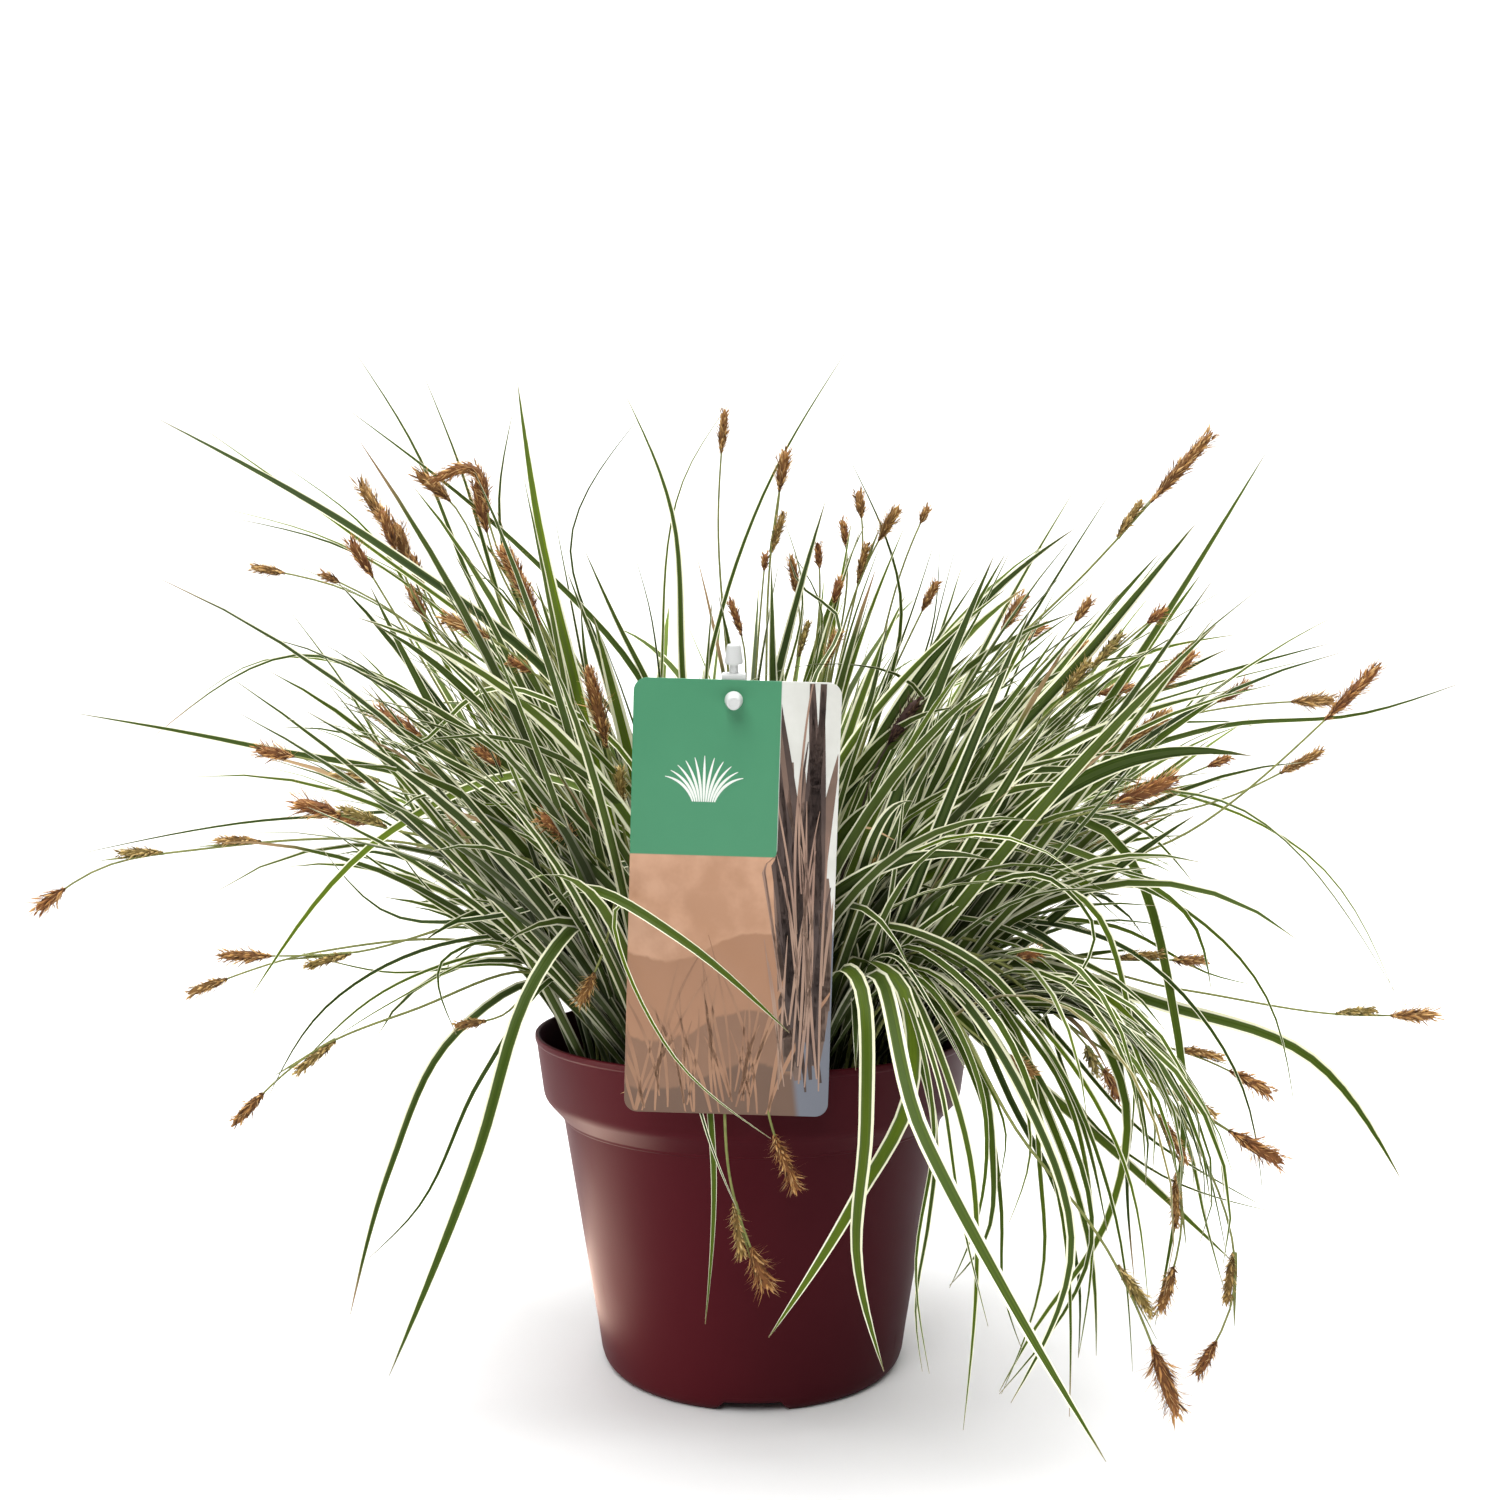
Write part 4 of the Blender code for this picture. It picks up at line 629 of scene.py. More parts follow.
def place_extra_leaves(tufts, draw):
    """Many more leaves that fill the clump: first the kinds that hang and those along the rim,
    then leaves from all over. One in ten of these may go on to the clump's full reach if it is
    narrow."""
    leaves = []
    for wanted, outline, out, heading, lean, bend, length, width in EXTRA_KINDS:
        wanted += len(leaves)
        while len(leaves) < wanted:
            away, way = draw.uniform(*out), math.radians(draw.uniform(*heading))
            root = (away * math.cos(way), away * math.sin(way), SOIL_HEIGHT + 4)
            fine = arching_path(
                root, way + draw.normal(0, 0.3), math.radians(draw.uniform(*lean)),
                math.radians(draw.uniform(*bend)), draw.uniform(*length), LEAF_POINTS)
            wide = draw.uniform(*width)
            if grows_free(fine, wide, outline):
                tuft = int(np.argmin(np.linalg.norm(tufts - fine[0, :2], axis=1)))
                leaves.append((tuft, fine, wide, False))
    wanted = len(leaves) + CLUMP_LEAVES
    while len(leaves) < wanted:
        tuft = int(draw.integers(TUFTS))
        centre = tufts[tuft]
        out = np.hypot(*centre) / CLUMP_RADIUS
        heading = math.atan2(centre[1], centre[0]) + draw.normal(0, 0.5 + 0.9 * (1 - out))
        lean = math.radians(draw.uniform(2, 22) + out * draw.uniform(10, 48))
        bend = math.radians(draw.uniform(-8, 55) + 90 * draw.random() ** 3)
        length = draw.uniform(120, 290)
        width = draw.uniform(2.8, 5.0) + 3.0 * draw.random() ** 3
        root = crown_spot(centre, draw.uniform(0, 2 * math.pi), 13.0 * math.sqrt(draw.random()))
        fine = arching_path(root, heading, lean, bend, length, LEAF_POINTS)
        far = draw.random() < 0.1 and width < WIDE_FROM
        if grows_free(fine, width, REACH if far else MASS):
            leaves.append((tuft, fine, width, width > WIDE_FROM))
    return leaves


def inside(outline, across, up):
    """True for each point within the outline, by counting the sides that a level ray from it
    crosses."""
    start = np.array(outline, float)
    end = np.roll(start, -1, 0)
    level = up[..., None]
    crossed = (start[:, 1] > level) != (end[:, 1] > level)
    slope = (end[:, 0] - start[:, 0]) / (end[:, 1] - start[:, 1] + 1e-9)
    ahead = across[..., None] < start[:, 0] + (level - start[:, 1]) * slope
    return (crossed & ahead).sum(-1) % 2 == 1


def stem_lines(fine, length):
    """The bare stem's points, upright through the soil and on to the middle of its end spike, and
    that spike's own points."""
    away = np.linalg.norm(fine - fine[-1], axis=1)
    above = (fine[:, 2] > SOIL_HEIGHT + 6) | (np.arange(len(fine)) > 20)
    bare = even_points(fine[above & (away > 0.45 * length)], CULM_RINGS - 2)
    upright = [fine[0], (*fine[0, :2], SOIL_HEIGHT + 5)]
    return np.vstack([upright, bare]), even_points(fine[away < length], 5)


def stem_radii(points, length, radius, sides):
    """Half the thickness of a stem at each point, with its spikes."""
    away = np.linalg.norm(points - points[-1], axis=1)
    radii = np.where(away < length + 2, radius, CULM_RADIUS)
    for start in sides:
        radii = np.where((away < start + 4) & (away > start - 22), SIDE_SPIKE_ROOM, radii)
    return radii


def place_flower_stems(space, tufts):
    """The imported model's stems, as (fine line, end spike's length and radius, side spikes), and the
    places for feet that are still free."""
    lattice = [
        (r * math.cos(a), r * math.sin(a))
        for r in np.arange(8.0, CLUMP_RADIUS + 9, 6.0)
        for a in np.arange(0, 2 * math.pi, 6.0 / r)
    ]
    keep_off = CROWN_RADIUS + 3.2
    spots = np.array([p for p in lattice if np.linalg.norm(tufts - p, axis=1).min() > keep_off])
    stems = []
    for number, (length, radius, sides, *through) in enumerate(FLOWER_STEMS):
        def tries():
            for foot in root_places(seen(*through[0]), spots)[:12]:
                for shift in sorted(range(-48, 49, 6), key=abs):
                    fine = stem_line(spots[foot], shifted(through, shift))
                    points = np.vstack(stem_lines(fine, length))
                    radii = stem_radii(points, length, radius, sides)
                    yield 100 + number, points, radii, foot, fine
        found = first_that_fits(space, tries())
        if found:
            foot, fine = found[3:]
            stems.append((fine, length, radius, sides))
            spots = spots[np.linalg.norm(spots - spots[foot], axis=1) > 4.5]
    return stems, spots


def place_fine_stems(spots):
    """The look's own stems, each from the free place that suits it best."""
    stems = []
    for length, radius, sides, *through in FINE_STEMS:
        knots = shifted(through, 0)
        foot = root_places(knots[0], spots)[0]
        stems.append((stem_line(spots[foot], knots), length, radius, sides))
    return stems


# Meshes from arrays

def tube_faces(count, rings, sides):
    """The quads of that many tubes, each of rings by sides points, and the caps at their ends."""
    index = np.arange(count * rings * sides).reshape(count, rings, sides)
    low, high = index[:, :-1], index[:, 1:]
    quads = np.stack([low, np.roll(low, -1, 2), np.roll(high, -1, 2), high], -1).reshape(-1, 4)
    caps = np.concatenate([index[:, 0, ::-1], index[:, -1]])
    return quads.tolist() + caps.tolist()


def moved_on(faces, first):
    """The faces of a part whose points follow that many others."""
    return [[first + k for k in face] for face in faces]


def piece(name, points, faces, material, stands_for=(), vectors=None, colours=None,
          numbers=None):
    """A mesh object from points in millimetres. Faces are turned outwards if the whole is inside
    out. Vectors, colours and numbers are named values at the points that its material reads."""
    points = np.asarray(points, float).reshape(-1, 3) * MM
    mesh = bpy.data.meshes.new(name)
    mesh.from_pydata(points.tolist(), [], faces)
    mesh.validate()
    loops = np.empty(len(mesh.loops), int)
    mesh.loops.foreach_get("vertex_index", loops)
    starts = np.empty(len(mesh.polygons), int)
    mesh.polygons.foreach_get("loop_start", starts)
    a, b, c = (points[loops[starts + k]] for k in range(3))
    if np.einsum("ij,ij->i", a, np.cross(b, c)).sum() < 0:
        mesh.flip_normals()
    for named, kind, field in (
        (vectors, "FLOAT_VECTOR", "vector"), (colours, "FLOAT_COLOR", "color"),
        (numbers, "FLOAT", "value"),
    ):
        for key, values in (named or {}).items():
            layer = mesh.attributes.new(key, kind, "POINT")
            layer.data.foreach_set(field, np.asarray(values, float).reshape(-1))
    mesh.polygons.foreach_set("use_smooth", np.full(len(mesh.polygons), True))
    mesh.materials.append(material)
    obj = bpy.data.objects.new(name, mesh)
    bpy.context.scene.collection.objects.link(obj)
    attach(obj, "root")
    if stands_for:
        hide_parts(*stands_for)
    return obj


def merged(obj):
    """Makes the points that meet on the axis of a turned piece one."""
    whole = bmesh.new()
    whole.from_mesh(obj.data)
    bmesh.ops.remove_doubles(whole, verts=whole.verts, dist=5e-6)
    whole.to_mesh(obj.data)
    whole.free()


# The leaves

# Where each corner of a blade's ring stands from edge to edge: the upper face's corners come first,
# then one below the rib. The wide kind is for leaves along given places and for the broad ones that
# fill the clump.
WIDE_ACROSS = np.array([-1.0, -0.5, 0.0, 0.5, 1.0, 0.0])
NARROW_ACROSS = np.array([-1.0, 0.0, 1.0, 0.0])
WIDE_RINGS, NARROW_RINGS = 32, 14
BLADE_THICK = 0.42
TO_VIEWER = np.array([0.0, -1.0, 0.35])  # and a little upwards

# The one leaf with exactly this width is the bright one.
BRIGHT_WIDTH = 6.2


def blade_rings(lines, widths, facings, rolls, twists, folds, across):
    """Blades as an array of blade, ring, corner. A corner is the blade's line, plus across times
    half the width along the side direction, plus a V-shaped lift of fold times across, and the
    last one is lowered by the thickness. The side direction is level and square to the blade's
    heading, made square to the line, and turned about it: by the facing times what would show the
    viewer a full face past the middle, by the roll and by the twist times the share of length."""
    share = np.linspace(0, 1, lines.shape[1])
    forward = unit(np.gradient(lines, axis=1))
    heading = lines[:, -1] - lines[:, 0]
    level = np.stack([-heading[:, 1], heading[:, 0], 0.02 * np.abs(heading).sum(-1)], -1)
    level = unit(level)[:, None]
    side = unit(level - (forward * level).sum(-1, keepdims=True) * forward)
    normal = np.cross(forward, side)
    past = int(0.6 * lines.shape[1])
    seen_side, seen_normal = (
        (vectors[:, past] * TO_VIEWER).sum(-1) for vectors in (side, normal))
    toward = np.arctan2(seen_side, seen_normal)
    toward = (toward + math.pi / 2) % math.pi - math.pi / 2
    turn = np.asarray(facings) * toward + np.asarray(rolls)
    turn = (turn[:, None] + np.asarray(twists)[:, None] * share)[..., None]
    cos, sin = np.cos(turn), np.sin(turn)
    normal, side = normal * cos + side * sin, side * cos - normal * sin
    widths = np.asarray(widths)[:, None]
    foot, tip = 0.5 + 0.5 * np.minimum(share / 0.2, 1), 1 - share ** (2.4 + 0.08 * widths**2)
    half = widths / 2 * foot * tip + 0.10
    fold = np.asarray(folds)[:, None] * (1.5 - share)
    reach = (half * np.cos(fold))[..., None] * across
    lift = (half * np.sin(fold))[..., None] * across**2
    lift[..., -1] -= BLADE_THICK * (1 - 0.75 * share)
    sideways, upwards = reach[..., None] * side[:, :, None], lift[..., None] * normal[:, :, None]
    return lines[:, :, None] + sideways + upwards


def outward(rings):
    """The faces of these tubes, each turned outwards if the first tube is inside out."""
    faces = tube_faces(*rings.shape[:3])
    one = rings[0]
    around = np.roll(one, -1, 1) - one
    spoke = one - one.mean(axis=1, keepdims=True)
    ahead = np.gradient(one.mean(axis=1), axis=0)[:, None]
    if (np.cross(around, ahead) * spoke).sum() < 0:
        faces = [face[::-1] for face in faces]
    return faces


def leaf_looks(leaves, draw):
    """Each leaf's tone, margin width, dried share of its tip and overall age, and its share of
    painted shade, which stands in for the shade inside the clump, as drawn values. The wide kind
    is less often dried and gets no painted shade, and only slender ones are aged."""
    count = len(leaves)
    widths = np.array([leaf[2] for leaf in leaves])
    wide = np.array([leaf[3] for leaf in leaves])
    tone = draw.normal(0.32, 0.24, count) + np.where(wide, -0.04, 0.05 * (widths - 3))
    tone = np.clip(np.where(widths == BRIGHT_WIDTH, 0.95, tone), 0, 1)
    margin = np.clip(draw.normal(0.31, 0.08, count), 0.18, 0.5)
    dried = draw.uniform(0.05, 0.25, count) * np.where(wide, 0.3, 1.0)
    dried = np.where(draw.random(count) < 0.10 - 0.06 * wide, dried, 0.01)
    is_aged = (draw.random(count) < 0.02) & (widths < 3.6)
    aged = np.where(is_aged, draw.uniform(0.5, 1.0, count), 0.0)
    # Painted shade: a random share for each slender leaf, darkening it as if shaded inside the clump.
    # Wide leaves are the nearest and get none.
    painted_shade = np.where(wide, 0.0, 0.95 * draw.random(count) ** 1.6)
    return np.stack([tone, margin, dried, aged], 1), painted_shade


def leaves_piece(name, leaves, material, stands_for, draw):
    """One piece of many blades, with each point's place on its blade and its blade's own look and
    painted shade. The wide ones have more rings and corners."""
    points, faces, places, looks, unders, painted_shades, first = [], [], [], [], [], [], 0
    kinds = ((True, WIDE_RINGS, WIDE_ACROSS), (False, NARROW_RINGS, NARROW_ACROSS))
    for wide, rings, across in kinds:
        group = [leaf for leaf in leaves if leaf[3] == wide]
        if not group:
            continue
        count, sides = len(group), len(across)
        lines = np.array([even_points(sheathed(leaf[1]), rings) for leaf in group])
        facings = draw.uniform(0.7 if wide else 0.2, 0.95, count)
        rolls = draw.normal(0, 0.1 if wide else 0.3, count)
        twists = draw.normal(0, 0.15 if wide else 0.4, count)
        folds = draw.uniform(0.15, 0.6, count)
        widths = [leaf[2] for leaf in group]
        grid = blade_rings(lines, widths, facings, rolls, twists, folds, across)
        place = np.empty((count, rings, sides, 3))
        place[..., 0] = across
        place[..., 1] = np.linspace(0, 1, rings)[:, None]
        place[..., 2] = draw.random(count)[:, None, None]
        look, painted_shade = leaf_looks(group, draw)
        look = np.broadcast_to(look[:, None, None], (count, rings, sides, 4))
        under = np.where(np.arange(sides) == sides - 1, 1.0, 0.5 * across**2)
        under = np.broadcast_to(under, grid.shape[:3])
        points.append(grid.reshape(-1, 3))
        places.append(place.reshape(-1, 3))
        looks.append(look.reshape(-1, 4))
        unders.append(under.reshape(-1))
        painted_shades.append(np.repeat(painted_shade, rings * sides))
        faces += moved_on(outward(grid), first)
        first += count * rings * sides
    # Besides place, look and lower face, each point carries its blade's painted shade.
    obj = piece(
        name, np.vstack(points), faces, material, stands_for,
        {"blade_place": np.vstack(places)}, {"blade_look": np.vstack(looks)},
        {"blade_under": np.concatenate(unders), "blade_painted_shade": np.concatenate(painted_shades)})
    obj.data.set_sharp_from_angle(angle=math.radians(75))


def sheathed(fine):
    """The blade's line, carried straight down into the soil below its root."""
    return np.vstack([fine[0] - (0, 0, 9), fine])


# The flower stems

SPINDLE = 0.5  # the bare spindle's share of a spike's radius
SPIKE_RADIUS = 4.4  # the one that the lengths of scales and hairs are given for
SPIKE_POINTS = 60


def carried_frames(line):
    """Two directions across the line at each point, carried along it without turning about it."""
    forward = unit(np.gradient(line, axis=0))
    side = np.cross(forward[0], (0.0, 1.0, 0.3))
    sides = []
    for direction in forward:
        side = side - (side @ direction) * direction
        side = side / np.linalg.norm(side)
        sides.append(side)
    sides = np.array(sides)
    return forward, sides, np.cross(forward, sides)


def tube(line, radii, sides):
    """A tube as an array of ring, corner: the line plus the radius round its two cross
    directions."""
    side, up = carried_frames(line)[1:]
    angle = np.arange(sides) * 2 * math.pi / sides
    round_it = np.cos(angle)[:, None] * side[:, None] + np.sin(angle)[:, None] * up[:, None]
    return line[:, None] + np.asarray(radii)[:, None, None] * round_it


def swell(share):
    """How full a spike is at that share of its length: a thin foot, soon full, and blunt at its
    end."""
    foot, end = np.clip(share / 0.34, 0, 1), np.clip((share - 0.78) / 0.22, 0, 1)
    return 0.16 + 0.84 * foot**2 * (3 - 2 * foot) - 0.42 * end**2


def brush(line, radius, count, length, width, splay, draw, sides):
    """Slivers that grow from a spindle in a spiral, as an array of sliver, ring, corner. Each
    starts on the spindle, runs forward and outward by the splay, curls a little, widens to its
    middle and ends in a point. With four sides it is a flat scale and with three a hair."""
    dense = even_points(line, SPIKE_POINTS)
    forward, side, up = carried_frames(dense)
    share = (np.arange(count) + draw.uniform(0, 1, count)) / count * 0.96
    ragged = np.interp(share, np.linspace(0, 1, 14), 1 + draw.normal(0, 0.22, 14))
    at = (share * (SPIKE_POINTS - 1)).astype(int)
    angle = np.arange(count) * GOLDEN_ANGLE + draw.normal(0, 0.3, count)
    out = np.cos(angle)[:, None] * side[at] + np.sin(angle)[:, None] * up[at]
    around = -np.sin(angle)[:, None] * side[at] + np.cos(angle)[:, None] * up[at]
    spindle = radius * SPINDLE * swell(share)
    long = length * draw.uniform(0.55, 1.4, count) * (0.5 + 0.5 * swell(share)) * ragged
    tilt = splay * draw.uniform(0.3, 1.8, count) * (1 - 0.6 * share**8) * np.sqrt(ragged)
    t = np.array([0.0, 0.5, 1.0])
    wide = np.array([0.55, 1.0, 0.06])
    bow = (np.sin(tilt)[:, None] * (t + 0.25 * t**2))[..., None]
    curl = draw.normal(0, 0.16, (count, 1, 1)) * (t**2)[None, :, None] * long[:, None, None]
    ahead = long[:, None, None] * t[None, :, None] * np.cos(tilt)[:, None, None]
    middle = (
        dense[at][:, None] + spindle[:, None, None] * out[:, None]
        + ahead * forward[at][:, None]
        + long[:, None, None] * bow * out[:, None] + curl * around[:, None]
    )
    half = (width * draw.uniform(0.7, 1.3, count))[:, None] * wide / 2
    if sides == 4:
        places = ((-1, 0), (0, 0.3), (1, 0), (0, -0.3))
    else:
        places = ((-0.9, -0.5), (0, 1.0), (0.9, -0.5))
    corners = [
        middle + (across * half)[..., None] * around[:, None]
        + (lift * half)[..., None] * out[:, None]
        for across, lift in places
    ]
    return np.stack(corners, axis=2)


def bundle(parts):
    """Joins tubes and slivers of one piece: points, faces and the look of each, one after
    another."""
    points, faces, looks, first = [], [], [], 0
    for rings, look in parts:
        rings = rings if rings.ndim == 4 else rings[None]
        count, ring, corner = rings.shape[:3]
        points.append(rings.reshape(-1, 3))
        faces += moved_on(outward(rings), first)
        value = np.empty((count, ring, corner, 4))
        value[...] = np.reshape(np.asarray(look, float), (-1, 1, 1, 4))
        # The last value is the share along each tube or sliver, from which the flower material paints
        # shade at the slivers' feet.
        value[..., 3] = np.linspace(0, 1, ring)[None, :, None]
        looks.append(value.reshape(-1, 4))
        first += count * ring * corner
    return np.vstack(points), faces, np.vstack(looks)


def toned(rings, low, high, ripe, dark, draw):
    """The rings with a look for each: (tone, ripeness, darkness)."""
    looks = np.zeros((len(rings), 4))
    looks[:, 0] = draw.uniform(low, high, len(rings))
    looks[:, 1] = ripe
    looks[:, 2] = dark
    return rings, looks


def spike_parts(line, radius, draw, ripe, dark, fuzz):
    """A flower spike: its spindle, overlapping scales close to it and a brush of hair-fine anthers,
    which stand off more with fuzz."""
    long = np.linalg.norm(np.diff(line, axis=0), axis=1).sum()
    share = np.linspace(0, 1, 10)
    body = radius * SPINDLE * swell(share) * np.sqrt(1 - share**8) + 0.06
    count, hair_count = int(3.6 * long), int((5.0 + 2.0 * fuzz) * long)
    reach = radius / SPIKE_RADIUS
    spindle = (tube(even_points(line, 10), body, 7), (0.12, ripe, dark, 0))
    scales = brush(line, radius, count, 3.6 * reach, 0.9, 0.45 + 0.12 * fuzz, draw, 4)
    # Scales get lower tones than hairs, partly their own darker brown and partly painted shade under
    # the hairs.
    scales = toned(scales, 0.0, 0.75, ripe, dark, draw)
    hair_length, splay = (3.2 + 1.6 * fuzz) * reach, 0.62 + 0.4 * fuzz
    hairs = brush(line, radius, hair_count, hair_length, 0.24, splay, draw, 3)
    return [spindle, scales, toned(hairs, 0.3, 1.0, ripe, dark, draw)]


def stem_parts(stem, draw, dark=0.0):
    """A three-cornered stem with its end spike, and side spikes each close along the stem."""
    fine, length, radius, sides = stem
    away = np.linalg.norm(fine - fine[-1], axis=1)
    bare = even_points(fine[away > 0.5 * length], 34)
    parts = [(tube(bare, np.linspace(0.85, 0.42, 34), 6), (0.5, 0.0, dark, 0))]
    hanging = np.clip((fine[-8] - fine[-1])[2] / 20, 0, 1)
    fuzz = draw.random() ** 1.5 * 0.8 + 0.5 * hanging
    ripe = 0.0 if dark else draw.uniform(0.7, 1.0)
    parts += spike_parts(fine[away < length], radius, draw, max(ripe, 0.7), dark, fuzz)
    back = np.cumsum(np.linalg.norm(np.diff(fine[::-1], axis=0), axis=1))
    for start in sides:
        at = len(fine) - 2 - int(np.searchsorted(back, start + 10))
        forward = unit(fine[at + 1] - fine[at])
        off = unit(np.cross(forward, (0.3, 1.0, 0.2))) * (1 if at % 2 else -1)
        foot = fine[at] - forward * 3 + off * 0.6
        axis = unit(forward + 0.16 * off)
        line = np.stack([foot, foot + axis * 10, foot + axis * 20 - (0, 0, 0.8)])
        parts += spike_parts(line, 2.9, draw, draw.uniform(0.25, 0.8), dark, 0.4 * fuzz)
        bract = np.stack([foot - off, foot + axis * 12 - off * 2, foot + axis * 28 - off * 4])
        bract = even_points(bract, 8)[None]
        rings = blade_rings(bract, [1.5], [0.5], [0.0], [0.5], [0.2], NARROW_ACROSS)
        parts.append((rings[0], (0.5, 0.0, dark, 0)))
    return parts


def flower_piece(name, stems, material, stands_for, draw, dark=0.0):
    """One piece of stems with their spikes, and with each point's look."""
    parts = []
    for stem in stems:
        parts += stem_parts(stem, draw, dark)
    points, faces, looks = bundle(parts)
    piece(name, points, faces, material, stands_for, colours={"spike_look": looks})


# The pot and the soil

POT_TURNS, DRAIN_SIDES = 288, 28
SOIL_TURNS, SOIL_RINGS, CRUMBS = 200, 64, 900


def rounded(corners, steps=5):
    """A profile through the corners, each (radius, height, rounding): a corner with rounding
    becomes an arc, as a quadratic curve from that far before it to that far after it."""
    points = []
    for i, (r, z, soft) in enumerate(corners):
        here = np.array([r, z])
        if not soft:
            points.append(here)
            continue
        before, after = np.array(corners[i - 1][:2]), np.array(corners[i + 1][:2])
        start = here + unit(before - here) * soft
        end = here + unit(after - here) * soft
        for t in np.linspace(0, 1, steps):
            points.append((1 - t) ** 2 * start + 2 * t * (1 - t) * here + t**2 * end)
    return np.array(points)


def turned(profile, turns):
    """The profile carried round the upright axis, as an array of turn, point."""
    angle = np.arange(turns) * 2 * math.pi / turns
    x = np.cos(angle)[:, None] * profile[:, 0]
    y = np.sin(angle)[:, None] * profile[:, 0]
    return np.stack([x, y, np.broadcast_to(profile[:, 1], x.shape)], -1)


def ring_faces(turns, steps):
    """Quads between each turn's points and the next turn's, closed round the axis."""
    index = np.arange(turns * steps).reshape(turns, steps)
    after = np.roll(index, -1, 0)
    quads = np.stack([index[:, :-1], index[:, 1:], after[:, 1:], after[:, :-1]], -1)
    return quads.reshape(-1, 4).tolist()


def notch_lift(angle, radius):
    """How far the foot is raised at that angle: a flat-topped gap with sloping ends."""
    part = 2 * math.pi / NOTCHES
    off = np.abs((angle + math.pi / 2 + part / 2) % part - part / 2) * radius
    slope = (NOTCH_WIDE - NOTCH_NARROW) / 2
    return np.clip((NOTCH_WIDE / 2 + 0.6 - off) / slope, 0, 1) * (BASE_UNDER - 0.4)


def build_pot(material):
    """A thin shell with a rolled lip, a tapering band, a shoulder that ends in a fine bead, and a
    raised base. The foot ring is lifted by the notch formula where each notch is."""
    foot_in = FOOT_RADIUS - FOOT_BEVEL - FOOT_RING
    corners = (
        (0, BASE_TOP, 0),
        (FOOT_RADIUS + 1.1 - WALL, BASE_TOP, 1.5),
        (SHOULDER_RADIUS - WALL, SHOULDER_HEIGHT + 0.6, 0.8),
        (BAND_RADIUS - WALL, BAND_HEIGHT + 0.6, 0.8),
        (RIM_RADIUS - WALL - 0.5, RIM_HEIGHT - 1.2, 0),
        (RIM_RADIUS - WALL + 0.1, RIM_HEIGHT, 0.5),
        (RIM_RADIUS + 0.1, RIM_HEIGHT, 0.6),
        (RIM_RADIUS + 0.1, RIM_HEIGHT - 2.4, 0.5),
        (RIM_RADIUS - 0.5, RIM_HEIGHT - 3.0, 0.3),
        (BAND_RADIUS + 0.1, BAND_HEIGHT + 0.3, 2.4),
        (SHOULDER_RADIUS + 0.75, SHOULDER_HEIGHT + 0.6, 0.3),
        (SHOULDER_RADIUS + 0.55, SHOULDER_HEIGHT - 0.4, 0.3),
        (SHOULDER_RADIUS - 0.05, SHOULDER_HEIGHT - 0.8, 0.2),
        (FOOT_RADIUS + 2.6, 16.0, 0),
        (FOOT_RADIUS + 1.1, 6.0, 0),
        (FOOT_RADIUS, FOOT_BEVEL, 1.2),
        (FOOT_RADIUS - FOOT_BEVEL, 0, 1.0),
        (foot_in, 0, 0.8),
        (foot_in - 0.8, BASE_UNDER, 0.6),
        (0, BASE_UNDER, 0),
    )
    profile = rounded(corners)
    grid = turned(profile, POT_TURNS)
    angle = np.arange(POT_TURNS)[:, None] * 2 * math.pi / POT_TURNS
    lift = np.minimum(notch_lift(angle, profile[None, :, 0]), BASE_UNDER - 0.3)
    foot = (profile[:, 0] > foot_in - 1) & (profile[:, 1] < BASE_UNDER)
    grid[..., 2] = np.where(foot, np.maximum(grid[..., 2], lift), grid[..., 2])
    faces = ring_faces(POT_TURNS, len(profile))
    obj = piece("nursery_pot", grid, faces, material, ["pot"])
    merged(obj)
    cutters = bpy.data.collections.new("drain cutters")
    bpy.context.scene.collection.children.link(cutters)
    circle = np.arange(DRAIN_SIDES) * 2 * math.pi / DRAIN_SIDES
    for number in range(DRAIN_HOLES):
        around = (number + 0.5) * 2 * math.pi / DRAIN_HOLES
        x = DRAIN_RING * math.cos(around) + DRAIN_RADIUS * np.cos(circle)
        y = DRAIN_RING * math.sin(around) + DRAIN_RADIUS * np.sin(circle)
        rings = [np.stack([x, y, circle * 0 + z], 1) for z in (BASE_UNDER - 2, BASE_TOP + 2)]
        mesh = bpy.data.meshes.new(f"drain {number}")
        mesh.from_pydata((np.vstack(rings) * MM).tolist(), [], tube_faces(1, 2, DRAIN_SIDES))
        cutters.objects.link(bpy.data.objects.new(f"drain {number}", mesh))
    bite = obj.modifiers.new("drains", "BOOLEAN")
    bite.operation = "DIFFERENCE"
    bite.operand_type = "COLLECTION"
    bite.collection = cutters
    bite.solver = "EXACT"
    bpy.context.view_layer.update()
    bitten = obj.evaluated_get(bpy.context.evaluated_depsgraph_get())
    cut = bpy.data.meshes.new_from_object(bitten)
    obj.modifiers.clear()
    obj.data = cut
    cut.shade_smooth()
    for cutter in list(cutters.objects):
        bpy.data.objects.remove(cutter)
    bpy.data.collections.remove(cutters)


def lumps(x, y, draw, count, low, high):
    """A height made of waves of random heading, the finer ones lower."""
    height = np.zeros_like(x)
    for _ in range(count):
        wave = draw.uniform(low, high)
        heading, phase = draw.uniform(0, 2 * math.pi, 2)
        height += np.sin((x * np.cos(heading) + y * np.sin(heading)) / wave + phase) * wave
    return height / count


